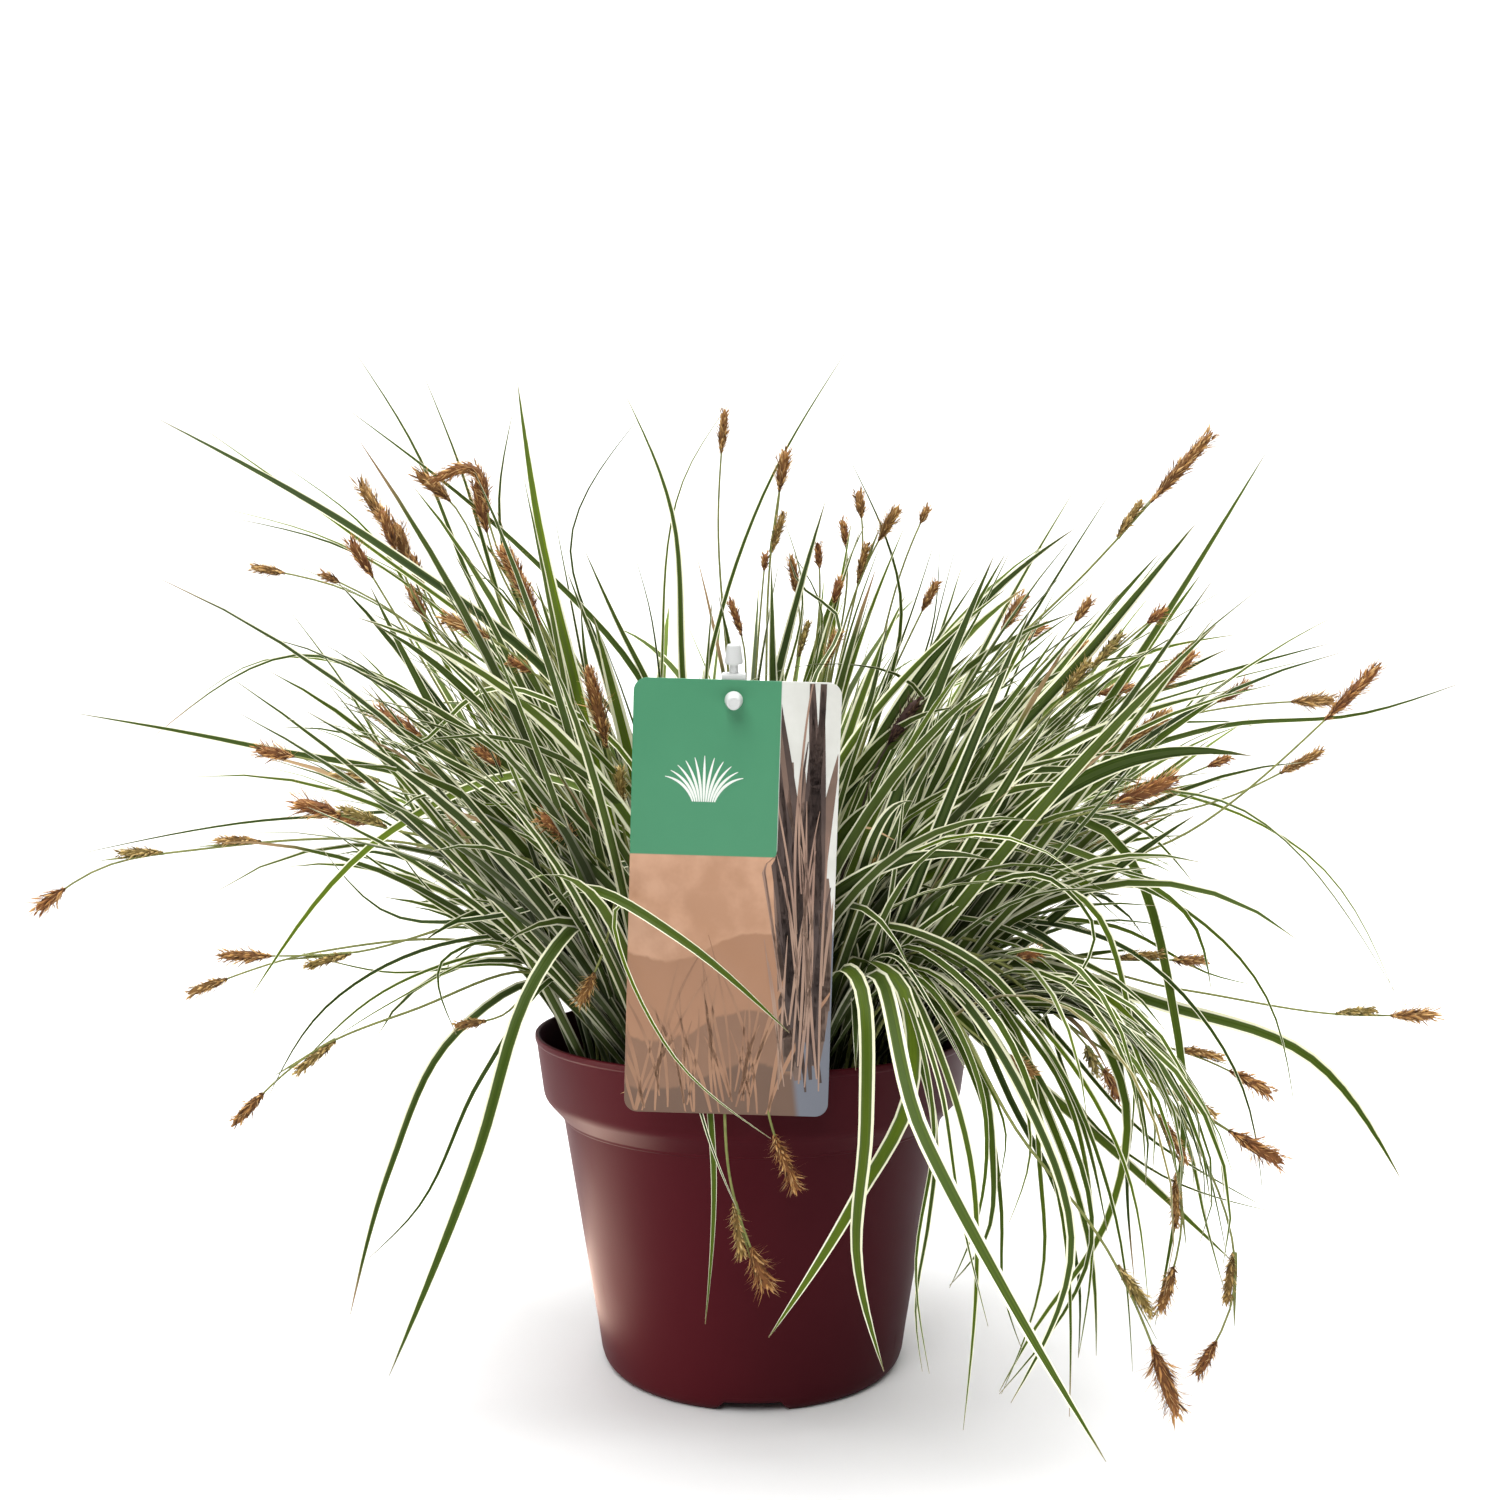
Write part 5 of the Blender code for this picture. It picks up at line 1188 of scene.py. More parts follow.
def build_soil(material):
    """The filling as one closed turned solid. Its top is a low dome with lumps that fade at its
    edge, and its wall keeps off the pot's inside. Crumbs lie on it."""
    draw = np.random.default_rng(21)
    inner = WALL + GAP
    share = (SOIL_HEIGHT - BAND_HEIGHT) / (RIM_HEIGHT - BAND_HEIGHT)
    top = BAND_RADIUS + (RIM_RADIUS - BAND_RADIUS) * share - inner - 0.6
    rings = np.linspace(0, top, SOIL_RINGS)
    dome = SOIL_HEIGHT + SOIL_DOME * (1 - (rings / top) ** 2)
    wall = np.array([
        (BAND_RADIUS - inner - 0.4, BAND_HEIGHT + 1.0),
        (SHOULDER_RADIUS - inner - 0.2, SHOULDER_HEIGHT),
        (FOOT_RADIUS + 1.0 - inner, BASE_TOP + GAP),
        (0, BASE_TOP + GAP)])
    profile = np.vstack([np.stack([rings, dome], 1), wall])
    grid = turned(profile, SOIL_TURNS)
    x, y = grid[:, :SOIL_RINGS, 0], grid[:, :SOIL_RINGS, 1]
    rough = lumps(x, y, draw, 30, 0.8, 4.0) * 1.6 + lumps(x, y, draw, 24, 0.35, 0.8) * 2.0
    edge = np.clip((top - rings) / 8, 0, 1)
    grid[:, :SOIL_RINGS, 2] += rough * edge - 0.8
    grid[:, 0, 2] = grid[0, 0, 2]
    faces = ring_faces(SOIL_TURNS, len(profile))
    merged(piece("peat_filling", grid, faces, material, ["soil"]))
    angle, away = draw.uniform(0, 2 * math.pi, CRUMBS), top * 0.96 * np.sqrt(draw.random(CRUMBS))
    height = SOIL_HEIGHT + 1.0 + (SOIL_DOME * (1 - (away / top) ** 2) - 0.4)
    middle = np.stack([away * np.cos(angle), away * np.sin(angle), height], 1)
    size = draw.uniform(0.5, 1.7, (CRUMBS, 1, 1, 1)) * draw.uniform(0.7, 1.3, (CRUMBS, 4, 6, 1))
    level = np.array([-1.0, -0.35, 0.4, 1.0])
    girth = np.sqrt(1.02 - level**2)
    corner = np.arange(6) * math.pi / 3
    ball = np.stack([
        girth[:, None] * np.cos(corner), girth[:, None] * np.sin(corner),
        np.broadcast_to(level[:, None], (4, 6))], -1)
    crumbs = middle[:, None, None] + ball[None] * size
    piece("peat_crumbs", crumbs, tube_faces(CRUMBS, 4, 6), material)


# The label and its stake

INK_STEP, INK_BORDER = 0.03, 0.6


def placed(points, matrix):
    """Points of a piece's own frame, moved into the shared one."""
    points = np.asarray(points, float).reshape(-1, 3)
    return points @ np.array(matrix.to_3x3()).T + np.array(matrix.translation)


def round_cornered(left, right, low, high, soft, steps):
    """A rectangle's outline whose corners are quarter circles of radius soft."""
    points = []
    for x, y, start in ((right - soft, high - soft, 0), (left + soft, high - soft, 90),
                        (left + soft, low + soft, 180), (right - soft, low + soft, 270)):
        angle = np.radians(start + np.linspace(0, 90, steps))
        points.append(np.stack([x + soft * np.cos(angle), y + soft * np.sin(angle)], 1))
    return np.vstack(points)


def label_outline(inset):
    """The card's outline at that inset."""
    left, right = -LABEL_WIDTH / 2 + PEG_LEFT + inset, LABEL_WIDTH / 2 + PEG_LEFT - inset
    low, high = PEG_DOWN - LABEL_HEIGHT + inset, PEG_DOWN - inset
    return round_cornered(left, right, low, high, LABEL_CORNER - inset, 9)


def build_label(material):
    """The card, as rings from the peg's hole out to its outline and back underneath. Between the
    hole and the outline each ring is a mix of the two, so the faces fan out evenly."""
    outer = label_outline(0.0)
    count = len(outer)
    angle = np.arctan2(outer[:, 1], outer[:, 0])
    hole = np.stack([PEG_HOLE * np.cos(angle), PEG_HOLE * np.sin(angle)], 1)
    bevel, half = 0.12, LABEL_THICK / 2
    trim = label_outline(bevel)
    shares = np.linspace(0, 1, 12) ** 1.5
    levels = [(hole + (trim - hole) * t, half) for t in shares]
    levels += [(outer, half - bevel), (outer, bevel - half)]
    levels += [(hole + (trim - hole) * t, -half) for t in shares[::-1]]
    grid = np.stack([np.column_stack([ring, np.full(count, z)]) for ring, z in levels], 1)
    flat = grid.reshape(-1, 3)
    print_place = np.column_stack([
        (flat[:, 0] + LABEL_WIDTH / 2 - PEG_LEFT) / LABEL_WIDTH,
        (flat[:, 1] - PEG_DOWN) / LABEL_HEIGHT + 1, flat[:, 2]])
    steps = grid.shape[1]
    index = np.arange(count * steps).reshape(count, steps)
    after = np.roll(index, -1, 0)
    faces = np.stack([index, np.roll(index, -1, 1), np.roll(after, -1, 1), after], -1)
    obj = piece(
        "plant_label", placed(flat, label_matrix()), faces.reshape(-1, 4).tolist(), material,
        ["label"], {"print_place": print_place})
    obj.data.set_sharp_from_angle(angle=math.radians(30))


def print_blades(name, blades, level, material, whole_card=False):
    """Printed grass: strips in the card's plane, trimmed at its border and, unless they may use the
    whole card, at the green panel's. Each runs from its foot for its length, starting at an angle
    and turning steadily by its bend, and narrows to both ends."""
    foot_x, foot_y, start, bend, length, width = np.array(blades, float).T
    t = np.linspace(0, 1, 26)
    angle = np.radians(start[:, None] + bend[:, None] * t)
    step = np.stack([np.cos(angle), np.sin(angle)], -1) * (length / (len(t) - 1))[:, None, None]
    middle = np.stack([foot_x, foot_y], 1)[:, None] + np.cumsum(step, axis=1) - step[:, :1]
    half = (width / 2)[:, None] * np.sin(np.pi * (0.12 + 0.86 * t)) ** 0.8 + 0.05
    beside = np.stack([-np.sin(angle), np.cos(angle)], -1) * half[..., None]
    low = LABEL_THICK / 2 + 0.004 + level * INK_STEP
    high = LABEL_THICK / 2 + INK_STEP + level * INK_STEP
    corners = np.empty((len(blades), len(t), 4, 3))
    for corner, (edge, z) in enumerate(((1, high), (-1, high), (-1, low), (1, low))):
        corners[:, :, corner, :2] = middle + edge * beside
        corners[:, :, corner, 2] = z
    limit = LABEL_WIDTH / 2 - INK_BORDER
    bottom, top = PEG_DOWN - LABEL_HEIGHT + INK_BORDER, PEG_DOWN - INK_BORDER
    corners[..., 0] = np.clip(corners[..., 0], PEG_LEFT - limit, PEG_LEFT + limit)
    corners[..., 1] = np.clip(corners[..., 1], bottom, top)
    if not whole_card:
        beside_panel = PANEL_RIGHT + 0.2 - 1.6 * np.maximum(PANEL_LOW - corners[..., 1], 0)
        corners[..., 0] = np.maximum(corners[..., 0], beside_panel)
    obj = piece(name, placed(corners, label_matrix()), outward(corners), material)
    obj.data.set_sharp_from_angle(angle=math.radians(30))


def build_label_print():
    """A made-up print in layers: brown grass that rises from the lower right, tan blades among it
    and a small pale tuft on the green panel. Each kind of blade is (how many, foot across, foot
    up, angle, bend, length, width), all but the first as ranges."""
    draw = np.random.default_rng(8)
    inks = (
        ("umber", (0.125, 0.082, 0.062), (0.20, 0.125, 0.095),
         (18, (20, 38), (-142, -100), (86, 98), (-8, 10), (60, 118), (4.0, 8.0))),
        ("sand", (0.33, 0.18, 0.105), (0.25, 0.13, 0.075),
         (34, (-34, 20), (-158, -146), (74, 106), (-34, 34), (24, 66), (0.7, 1.6))),
        ("brown", (0.045, 0.028, 0.024), (0.085, 0.055, 0.045),
         (30, (20, 38), (-146, -60), (84, 100), (-12, 14), (50, 104), (1.4, 3.4))),
        ("clay", (0.34, 0.22, 0.16), (0.26, 0.16, 0.12),
         (24, (17, 37), (-148, -70), (82, 102), (-18, 22), (40, 96), (0.5, 1.2))),
    )
    for level, (ink, first, second, (count, *ranges)) in enumerate(inks):
        blades = np.stack([draw.uniform(low, high, count) for low, high in ranges], 1)
        print_blades(f"label_ink_{ink}", blades, level, ink_material(f"ink_{ink}", first, second))
    tuft = [
        (0.8 * k - 10.0, -38.0, 90 - 3 * k, -13 * k, 17 - 0.5 * abs(k), 0.9) for k in range(-5, 6)]
    white = ink_material("ink_white", (0.76, 0.78, 0.74), (0.70, 0.73, 0.68))
    print_blades("label_ink_white", tuft, 0, white, whole_card=True)


def box_tube(profile, soft):
    """A bar along z as an array of ring, corner: at each (height, width, depth) a rectangle with
    rounded corners."""
    rings = []
    for z, wide, deep in profile:
        ring = round_cornered(-wide / 2, wide / 2, -deep / 2, deep / 2, soft, 4)
        rings.append(np.column_stack([ring, np.full(len(ring), z)]))
    return np.stack(rings)


def build_stake(material):
    """The stake with its block, the plug through the label's hole and the cone on top. Bars are
    rounded rectangles carried along z, plugs are turned profiles."""
    middle = LABEL_THICK / 2 + 3 * GAP + BLOCK_DEPTH / 2
    low, high, foot = BLOCK_TOP - BLOCK_HEIGHT, BLOCK_TOP, -STAKE_LENGTH
    bar = [(foot, 2.6, 1.6), (foot + 9, STAKE_WIDTH - 0.6, STAKE_THICK - 0.4)]
    bar += [(z, STAKE_WIDTH, STAKE_THICK) for z in (foot + 14, -30, -1)]
    block = [
        (z, BLOCK_WIDTH - less, BLOCK_DEPTH - less) for z, less in (
            (low, 1.2), (low + 0.3, 0.3), (low + 0.8, 0), (high - 0.8, 0), (high - 0.3, 0.3),
            (high, 1.2))]
    tip = NECK_LONG + PLUG_LONG
    plug = turned(rounded((
        (0, -1.0, 0), (NECK_RADIUS + 0.15, -1.0, 0), (NECK_RADIUS, 0.4, 0),
        (NECK_RADIUS, NECK_LONG - 0.2, 0.3), (PLUG_BASE - 0.3, NECK_LONG, 0),
        (PLUG_BASE, NECK_LONG + 0.5, 0.4), (PLUG_END, tip - 0.2, 0.5), (PLUG_END - 0.7, tip, 0.3),
        (PLUG_END - 1.1, tip - 0.25, 0.2), (0, tip - 0.3, 0)), 4), 32)
    forward = np.array(Matrix.Rotation(math.pi / 2, 3, "X")).T
    points, faces, first = [], [], 0
    for rings in (box_tube(bar, 0.5), box_tube(block, 0.5)):
        points.append((rings + (0, middle, 0)).reshape(-1, 3))
        faces += moved_on(tube_faces(1, *rings.shape[:2]), first)
        first += len(points[-1])
    for grid in (plug @ forward + (0, middle - BLOCK_DEPTH / 2, 0), plug + (0, middle, high)):
        points.append(grid.reshape(-1, 3))
        faces += moved_on([face[::-1] for face in ring_faces(*grid.shape[:2])], first)
        first += len(points[-1])
    obj = piece(
        "label_peg_stake", placed(np.vstack(points), stake_matrix()), faces, material,
        ["label_stake"])
    merged(obj)
    obj.data.set_sharp_from_angle(angle=math.radians(40))


# Materials

DEEP_GREEN, BRIGHT_GREEN = (0.014, 0.030, 0.004), (0.125, 0.190, 0.006)


def new_material(name, roughness, specular):
    """A material with a Principled shader of that roughness and specular, with its nodes and that
    shader."""
    made = bpy.data.materials.new(name)
    made.use_nodes = True
    shader = made.node_tree.nodes["Principled BSDF"]
    shader.inputs["Roughness"].default_value = roughness
    shader.inputs["Specular IOR Level"].default_value = specular
    return made, Nodes(made.node_tree), shader


class Nodes:
    """Short calls that add a node to a tree and link or set its inputs."""

    def __init__(self, tree):
        self.tree = tree

    def feed(self, socket, value):
        """Links the socket to another one, or sets it."""
        if isinstance(value, bpy.types.NodeSocket):
            self.tree.links.new(value, socket)
        else:
            socket.default_value = value

    def put(self, kind, inputs=(), **settings):
        node = self.tree.nodes.new(kind)
        for key, value in settings.items():
            setattr(node, key, value)
        for key, value in (inputs.items() if isinstance(inputs, dict) else enumerate(inputs)):
            self.feed(node.inputs[key], value)
        return node

    def attribute(self, name):
        """What is stored under that name at the points."""
        return self.put("ShaderNodeAttribute", attribute_name=name).outputs

    def own_place(self):
        """The point's place in its own object."""
        return self.put("ShaderNodeTexCoord").outputs["Object"]

    def math(self, operation, *values):
        return self.put("ShaderNodeMath", values, operation=operation).outputs[0]

    def ramp(self, value, low, high, to_low=0.0, to_high=1.0, smooth=True):
        """Value mapped from low..high to to_low..to_high, held beyond them."""
        node = self.put(
            "ShaderNodeMapRange", (value, low, high, to_low, to_high),
            interpolation_type="SMOOTHSTEP" if smooth else "LINEAR")
        return node.outputs[0]

    def mix(self, share, first, second):
        """The first colour, moved to the second by that share."""
        first, second = (
            (*colour, 1) if isinstance(colour, tuple) else colour for colour in (first, second))
        inputs = {0: share, 6: first, 7: second}
        return self.put("ShaderNodeMix", inputs, data_type="RGBA").outputs[2]

    def noise(self, vector, scale, detail=2.0, roughness=0.5):
        inputs = {"Vector": vector, "Scale": scale, "Detail": detail, "Roughness": roughness}
        return self.put("ShaderNodeTexNoise", inputs).outputs["Fac"]

    def link(self, start, end):
        self.tree.links.new(start, end)

    def bump(self, shader, height, strength, distance):
        """Tilts the shader's normal by that height."""
        inputs = {"Strength": strength, "Distance": distance, "Height": height}
        self.link(self.put("ShaderNodeBump", inputs).outputs[0], shader.inputs["Normal"])


def new_group(name, inputs, outputs):
    """A shader node group with those named sockets, its nodes, and its input and output nodes."""
    group = bpy.data.node_groups.new(name, "ShaderNodeTree")
    for key, kind, value in inputs:
        socket = group.interface.new_socket(key, in_out="INPUT", socket_type=kind)
        socket.default_value = value
    for key, kind in outputs:
        group.interface.new_socket(key, in_out="OUTPUT", socket_type=kind)
    nodes = Nodes(group)
    return group, nodes, nodes.put("NodeGroupInput"), nodes.put("NodeGroupOutput")


def moulded_group():
    """Moulded plastic: slow drifts of tone, fine grain and small scuffs, as a colour, a roughness
    and a height."""
    group, nodes, given, result = new_group(
        "moulded_plastic",
        (("Vector", "NodeSocketVector", (0, 0, 0)), ("Base", "NodeSocketColor", (0.5, 0.5, 0.5, 1)),
         ("Worn", "NodeSocketColor", (0.6, 0.6, 0.6, 1)), ("Wear", "NodeSocketFloat", 0.3),
         ("Gloss", "NodeSocketFloat", 0.4)),
        (("Color", "NodeSocketColor"), ("Roughness", "NodeSocketFloat"),
         ("Height", "NodeSocketFloat")))
    vector, fresh, worn, wear, gloss = given.outputs[:5]
    drift = nodes.noise(vector, 9.0, 3.0)
    grain = nodes.noise(vector, 900.0, 2.0)
    stretch = {"Vector": vector, "Scale": (1.0, 1.0, 0.12)}
    stretched = nodes.put("ShaderNodeMapping", stretch).outputs[0]
    scuff = nodes.ramp(nodes.noise(stretched, 160.0, 4.0, 0.7), 0.60, 0.74)
    scuff = nodes.math("MULTIPLY", scuff, nodes.ramp(nodes.noise(vector, 26.0, 2.0), 0.45, 0.7))
    scuff = nodes.math("MULTIPLY", scuff, wear)
    base = nodes.mix(nodes.ramp(drift, 0.3, 0.7, 0.0, 0.35), fresh, worn)
    nodes.link(nodes.mix(scuff, base, worn), result.inputs["Color"])
    rough = nodes.math("ADD", gloss, nodes.ramp(drift, 0.3, 0.7, -0.05, 0.07))
    rough = nodes.math("ADD", rough, nodes.math("MULTIPLY", scuff, 0.25))
    nodes.link(rough, result.inputs["Roughness"])
    height = nodes.math("ADD", nodes.math("MULTIPLY", grain, 0.5), scuff)
    nodes.link(height, result.inputs["Height"])
    return group


def finish_plastic(name, group, base, worn, wear, gloss, bump, specular):
    """A plastic of that base and worn colour, whose look the moulded group makes."""
    material, nodes, shader = new_material(name, gloss, specular)
    look = nodes.put("ShaderNodeGroup", (), node_tree=group)
    given = (nodes.own_place(), (*base, 1), (*worn, 1), wear, gloss)
    for socket, value in zip(look.inputs, given):
        nodes.feed(socket, value)
    nodes.link(look.outputs["Color"], shader.inputs["Base Color"])
    nodes.link(look.outputs["Roughness"], shader.inputs["Roughness"])
    nodes.bump(shader, look.outputs["Height"], bump, 0.0002)
    return material


def leaf_material():
    """A white-edged blade. Across its upper face the colour goes cream, green, cream, with fine
    lengthwise lines. Its lower face is greyer, its foot is darkened by painted shade, slender
    blades carry more painted shade, and its tip may be dried to tan."""
    material, nodes, shader = new_material("sedge_leaf", 0.46, 0.12)
    place = nodes.attribute("blade_place")["Vector"]
    across, along, pick = nodes.put("ShaderNodeSeparateXYZ", [place]).outputs
    look = nodes.attribute("blade_look")
    tone, margin, dried = nodes.put("ShaderNodeSeparateColor", [look["Color"]]).outputs
    aged = look["Alpha"]
    under = nodes.attribute("blade_under")["Fac"]
    # Each slender blade's painted shade, which darkens it as if it stood in shade inside the clump.
    painted_shade = nodes.attribute("blade_painted_shade")["Fac"]
    lines_at = nodes.put("ShaderNodeCombineXYZ", (
        nodes.math("MULTIPLY_ADD", across, 5.5, nodes.math("MULTIPLY", pick, 91.0)),
        nodes.math("MULTIPLY", along, 1.6), nodes.math("MULTIPLY", pick, 17.0))).outputs[0]
    lines = nodes.noise(lines_at, 1.0, 3.0, 0.6)
    patch_at = nodes.put("ShaderNodeCombineXYZ", (
        nodes.math("MULTIPLY", across, 0.4), nodes.math("MULTIPLY", along, 7.0),
        nodes.math("MULTIPLY", pick, 53.0))).outputs[0]
    patches = nodes.noise(patch_at, 1.0, 2.0)
    edge = nodes.math("SUBTRACT", 1.0, margin)
    wander = nodes.math("SUBTRACT", lines, 0.5)
    wander = nodes.math("MULTIPLY_ADD", wander, 0.20, nodes.math("ABSOLUTE", across))
    inner, outer = nodes.math("SUBTRACT", edge, 0.04), nodes.math("ADD", edge, 0.04)
    rim = nodes.ramp(wander, inner, outer, smooth=False)
    green = nodes.mix(tone, DEEP_GREEN, BRIGHT_GREEN)
    green = nodes.mix(nodes.ramp(patches, 0.35, 0.7, 0.0, 0.4), green, (0.034, 0.068, 0.006))
    green = nodes.mix(nodes.ramp(lines, 0.45, 0.8, 0.0, 0.35), green, (0.15, 0.205, 0.022))
    cream = nodes.mix(nodes.ramp(lines, 0.3, 0.7), (0.76, 0.75, 0.50), (0.94, 0.93, 0.74))
    colour = nodes.mix(rim, green, cream)
    below = nodes.mix(rim, (0.070, 0.100, 0.026), (0.70, 0.70, 0.48))
    colour = nodes.mix(nodes.ramp(under, 0.5, 0.56, 0.0, 0.45), colour, below)
    # Painted shade: the blade darkens towards its foot, where the clump shades it, down to almost
    # black.
    base = nodes.ramp(along, 0.08, 0.48, 0.85, 0.0)
    # The blade's own painted shade is full below its middle and fades towards its tip.
    painted_shade_along = nodes.math("MULTIPLY", painted_shade, nodes.ramp(along, 0.5, 0.95, 1.0, 0.2))
    base = nodes.math("MAXIMUM", base, painted_shade_along)
    colour = nodes.mix(base, colour, (0.020, 0.026, 0.009))
    tip = nodes.ramp(nodes.math("ADD", along, dried), 0.97, 1.05)
    colour = nodes.mix(tip, colour, (0.30, 0.20, 0.10))
    colour = nodes.mix(nodes.math("MULTIPLY", aged, 0.7), colour, (0.36, 0.26, 0.12))
    nodes.link(colour, shader.inputs["Base Color"])
    nodes.link(nodes.ramp(lines, 0.3, 0.7, 0.42, 0.58), shader.inputs["Roughness"])
    nodes.bump(shader, lines, 0.35, 0.0003)
    return material


def tone_steps(nodes, tone, steps):
    """A colour that runs through the steps, each (tone, colour), as the tone rises."""
    node = nodes.put("ShaderNodeValToRGB", [tone])
    ramp = node.color_ramp
    while len(ramp.elements) < len(steps):
        ramp.elements.new(0.5)
    for element, (at, colour) in zip(ramp.elements, steps):
        element.position = at
        element.color = (*colour, 1)
    return node.outputs[0]


def flower_material():
    """Spikes from straw and gold to rust, darker towards the foot of each scale and hair as painted
    shade between them, and green-straw stems."""
    material, nodes, shader = new_material("sedge_flower", 0.72, 0.2)
    look = nodes.attribute("spike_look")
    tone, ripe, dark = nodes.put("ShaderNodeSeparateColor", [look["Color"]]).outputs
    fleck = nodes.noise(nodes.own_place(), 420.0, 2.0)
    # Painted shade: the tone falls towards each scale's and hair's foot on the spindle, where they
    # shade each other.
    lit = nodes.math("MULTIPLY_ADD", nodes.math("SUBTRACT", look["Alpha"], 0.4), 0.30, tone)
    young = tone_steps(nodes, lit, (
        (0.0, (0.06, 0.055, 0.014)), (0.3, (0.26, 0.22, 0.06)), (0.6, (0.52, 0.42, 0.15)),
        (1.0, (0.80, 0.68, 0.36))))
    old = tone_steps(nodes, lit, (
        (0.0, (0.065, 0.025, 0.010)), (0.3, (0.25, 0.100, 0.032)), (0.6, (0.52, 0.26, 0.082)),
        (1.0, (0.84, 0.57, 0.26))))
    stem = nodes.mix(fleck, (0.10, 0.13, 0.035), (0.27, 0.27, 0.09))
    spike = nodes.mix(nodes.ramp(ripe, 0.2, 0.9, smooth=False), young, old)
    spike = nodes.mix(nodes.ramp(fleck, 0.45, 0.7, 0.0, 0.25), spike, (0.24, 0.10, 0.035))
    colour = nodes.mix(nodes.ramp(ripe, 0.02, 0.2), stem, spike)
    colour = nodes.mix(nodes.math("MULTIPLY", dark, 0.9), colour, (0.018, 0.006, 0.010))
    nodes.link(colour, shader.inputs["Base Color"])
    nodes.bump(shader, fleck, 0.4, 0.0002)
    return material


def peat_material():
    """Moist peat: almost black, with brown fibres and a few pale bits."""
    material, nodes, shader = new_material("peat", 0.92, 0.2)
    vector = nodes.own_place()
    fine, coarse = nodes.noise(vector, 700.0, 4.0, 0.7), nodes.noise(vector, 120.0, 3.0)
    colour = nodes.mix(nodes.ramp(coarse, 0.35, 0.65), (0.010, 0.007, 0.005), (0.035, 0.021, 0.013))
    colour = nodes.mix(nodes.ramp(fine, 0.66, 0.74), colour, (0.12, 0.075, 0.04))
    nodes.link(colour, shader.inputs["Base Color"])
    nodes.bump(shader, fine, 0.9, 0.0008)
    return material


def label_material():
    """Printed card: a green panel at the top left, a pale field beside it and down the right edge,
    bluish at its foot, and below a warm field with low hills, all softly mottled. They follow the
    card's own width and height."""
    material, nodes, shader = new_material("label_print", 0.34, 0.35)
    place = nodes.attribute("print_place")["Vector"]
    across, up = nodes.put("ShaderNodeSeparateXYZ", [place]).outputs[:2]
    flow = nodes.put("ShaderNodeMapping", {"Vector": place, "Scale": (2.2, 4.0, 1.0)}).outputs[0]
    cloud = nodes.noise(flow, 1.6, 4.0, 0.6)
    wave = nodes.math("SINE", nodes.math("MULTIPLY_ADD", across, 6.5, 0.6))
    ridge = nodes.math("MULTIPLY_ADD", wave, 0.035, up)
    ridge = nodes.math("MULTIPLY_ADD", nodes.math("SUBTRACT", cloud, 0.5), 0.06, ridge)
    warm = nodes.mix(nodes.ramp(cloud, 0.35, 0.65), (0.52, 0.30, 0.19), (0.40, 0.215, 0.125))
    warm = nodes.mix(nodes.ramp(ridge, 0.395, 0.385), warm, (0.33, 0.17, 0.095))
    warm = nodes.mix(nodes.ramp(ridge, 0.215, 0.205), warm, (0.215, 0.115, 0.068))
    warm = nodes.mix(nodes.ramp(ridge, 0.09, 0.08), warm, (0.13, 0.072, 0.045))
    pale = nodes.mix(nodes.ramp(cloud, 0.3, 0.7), (0.56, 0.56, 0.52), (0.64, 0.64, 0.60))
    slope = nodes.math("MULTIPLY_ADD", up, 0.9, nodes.math("SUBTRACT", 1.0, across))
    cool = nodes.mix(nodes.ramp(slope, 0.40, 0.385), pale, (0.135, 0.145, 0.175))
    wave = nodes.math("SINE", nodes.math("MULTIPLY", up, 5.2))
    sweep = nodes.math("MULTIPLY_ADD", wave, 0.05, across)
    field = nodes.mix(nodes.ramp(sweep, 0.83, 0.87), warm, cool)
    panel = nodes.mix(cloud, (0.048, 0.215, 0.108), (0.058, 0.240, 0.122))
    upper = nodes.mix(nodes.ramp(across, 0.708, 0.713), panel, pale)
    nodes.link(nodes.mix(nodes.ramp(up, 0.598, 0.601), field, upper), shader.inputs["Base Color"])
    nodes.link(nodes.ramp(cloud, 0.3, 0.7, 0.30, 0.38), shader.inputs["Roughness"])
    return material


def ink_material(name, first, second):
    """Printing ink on the card, with a slow drift between two close tones."""
    material, nodes, shader = new_material(name, 0.36, 0.3)
    drift = nodes.ramp(nodes.noise(nodes.own_place(), 60.0, 3.0), 0.3, 0.7)
    nodes.link(nodes.mix(drift, first, second), shader.inputs["Base Color"])
    return material


def floor_material():
    """A pale, almost even floor."""
    material, nodes, shader = new_material("studio_floor", 0.9, 0.1)
    cloud = nodes.noise(nodes.own_place(), 3.0, 2.0)
    tone = nodes.mix(cloud, (0.83, 0.83, 0.83), (0.85, 0.85, 0.85))
    nodes.link(tone, shader.inputs["Base Color"])
    return material


# Camera, lights and floor

def build_camera():
    camera = bpy.data.cameras.new("camera")
    camera.lens, camera.sensor_width, camera.clip_start = LENS, SENSOR, 0.01
    obj = bpy.data.objects.new("camera", camera)
    obj.location = (-1.0 * MM, -EYE_DISTANCE * MM, EYE_HEIGHT * MM)
    obj.rotation_euler = (math.pi / 2, 0, 0)
    bpy.context.scene.collection.objects.link(obj)
    bpy.context.scene.camera = obj


def area_light(name, place, target, size, power, colour=(1, 1, 1)):
    light = bpy.data.lights.new(name, "AREA")
    light.size, light.energy, light.color = size, power, colour
    obj = bpy.data.objects.new(name, light)
    obj.location = place
    away = Matrix.Translation(place).translation - Matrix.Translation(target).translation
    obj.rotation_euler = away.to_track_quat("Z", "Y").to_euler()
    bpy.context.scene.collection.objects.link(obj)
    return obj


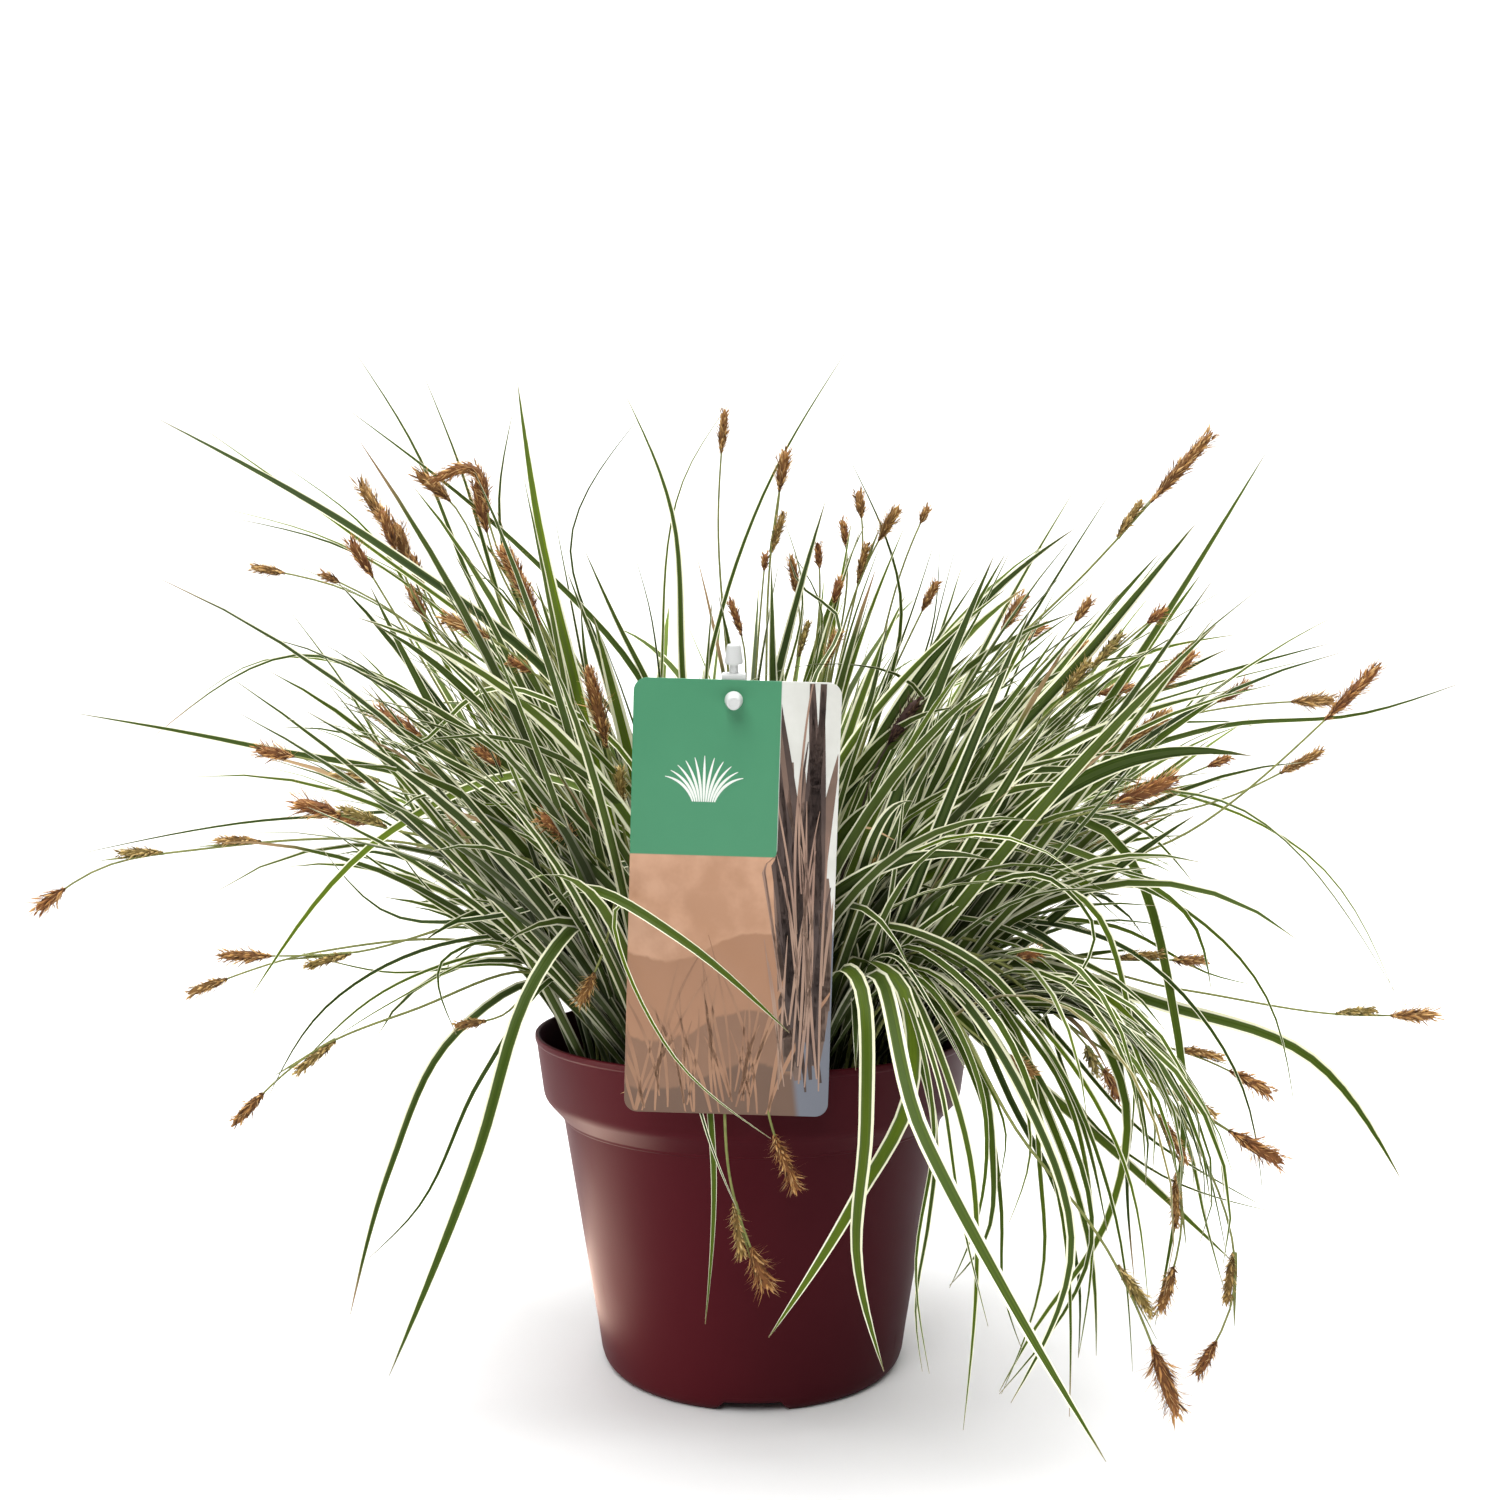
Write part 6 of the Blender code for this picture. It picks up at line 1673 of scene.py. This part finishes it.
def build_studio():
    """A floor that sweeps up into a backdrop, a pale world and soft lights: one from the front
    left, one from above, one for the backdrop and two that light the pot alone."""
    angle = np.linspace(0, 1, 24) * math.pi / 2
    bend = np.stack([1.6 + 1.4 * np.sin(angle), 1.4 - 1.4 * np.cos(angle)], 1)
    sweep = np.concatenate([[(-3.0, 0.0)], bend, [(3.0, 5.0)]])
    across = np.array([-5.0, 5.0])
    grid = np.stack([
        np.broadcast_to(across, (len(sweep), 2)), np.broadcast_to(sweep[:, :1], (len(sweep), 2)),
        np.broadcast_to(sweep[:, 1:], (len(sweep), 2))], -1)
    index = np.arange(len(sweep) * 2).reshape(-1, 2)
    faces = np.stack([index[:-1, 0], index[:-1, 1], index[1:, 1], index[1:, 0]], -1).tolist()
    mesh = bpy.data.meshes.new("floor")
    mesh.from_pydata(grid.reshape(-1, 3).tolist(), [], faces)
    mesh.shade_smooth()
    mesh.materials.append(floor_material())
    floor = bpy.data.objects.new("floor", mesh)
    floor.location.z = -0.0002
    bpy.context.scene.collection.objects.link(floor)
    world = bpy.data.worlds.new("studio")
    world.use_nodes = True
    world.node_tree.nodes["Background"].inputs["Color"].default_value = (1.0, 1.0, 1.0, 1)
    world.node_tree.nodes["Background"].inputs["Strength"].default_value = 0.17
    bpy.context.scene.world = world
    area_light("key", (-0.4, -1.4, 1.5), (0, 0, 0.2), 1.1, 27.0)
    area_light("top", (0.3, 0.2, 2.2), (0, 0.1, 0), 2.0, 44.0)
    area_light("backdrop", (0.0, 1.0, 3.0), (0, 3.0, 1.0), 4.0, 170.0)
    glow = area_light(
        "pot glow", (-0.16, 0.02, 0.003), (-0.16, 0.02, 1.0), 0.15, 0.5, (1.0, 0.74, 0.58))
    glow.visible_camera = glow.visible_diffuse = False
    only_pot = bpy.data.collections.new("lit by pot glow")
    only_pot.objects.link(bpy.data.objects["nursery_pot"])
    side = area_light("pot side", (-0.75, -0.25, 0.12), (0, 0, 0.08), 0.35, 8.0, (1.0, 0.76, 0.65))
    for light in (glow, side):
        light.light_linking.receiver_collection = only_pot
    bpy.context.scene.view_settings.view_transform = "Standard"


def main():
    build_camera()
    moulded = moulded_group()
    pot_plastic = finish_plastic(
        "pot_plastic", moulded, (0.043, 0.0040, 0.0072), (0.056, 0.008, 0.011), 0.35, 0.46, 0.10,
        0.045)
    stake_plastic = finish_plastic(
        "stake_plastic", moulded, (0.55, 0.56, 0.55), (0.42, 0.43, 0.42), 0.3, 0.36, 0.1, 0.4)
    leaf, flower, peat = leaf_material(), flower_material(), peat_material()

    build_pot(pot_plastic)
    build_studio()
    build_soil(peat)
    build_label(label_material())
    build_label_print()
    build_stake(stake_plastic)

    tufts = tuft_places()
    space = Space()
    for number, centre in enumerate(tufts):
        axis = np.array([(*centre, SOIL_HEIGHT - CROWN_SINK), (*centre, SOIL_HEIGHT + CROWN_RISE)])
        space.add(axis, np.full(2, CROWN_RADIUS), number)
    leaves = place_leading_leaves(space, tufts)
    stems, spots = place_flower_stems(space, tufts)
    leaves += place_filler_leaves(space, tufts, np.random.default_rng(SEED))
    draw = np.random.default_rng(EXTRA_SEED)
    leaves += place_fine_leaves(tufts, draw)
    leaves += place_extra_leaves(tufts, draw)
    for number in range(TUFTS):
        own = [leaf for leaf in leaves if leaf[0] == number]
        own_name, stands_for = f"sedge_leaves_{number + 1:02d}", f"leaf_tuft_{number + 1:02d}"
        leaves_piece(own_name, own, leaf, [stands_for], draw)
    for number, stem in enumerate(stems):
        own_name, stands_for = f"sedge_flower_{number + 1:02d}", f"flower_stem_{number + 1:02d}"
        flower_piece(own_name, [stem], flower, [stands_for], draw)
    fine_stems = place_fine_stems(spots)
    dark_stem = fine_stems.pop(DARK_STEM)
    flower_piece("sedge_flowers_fine", fine_stems, flower, (), draw)
    flower_piece("sedge_flower_dark", [dark_stem], flower, (), draw, 1.0)


main()
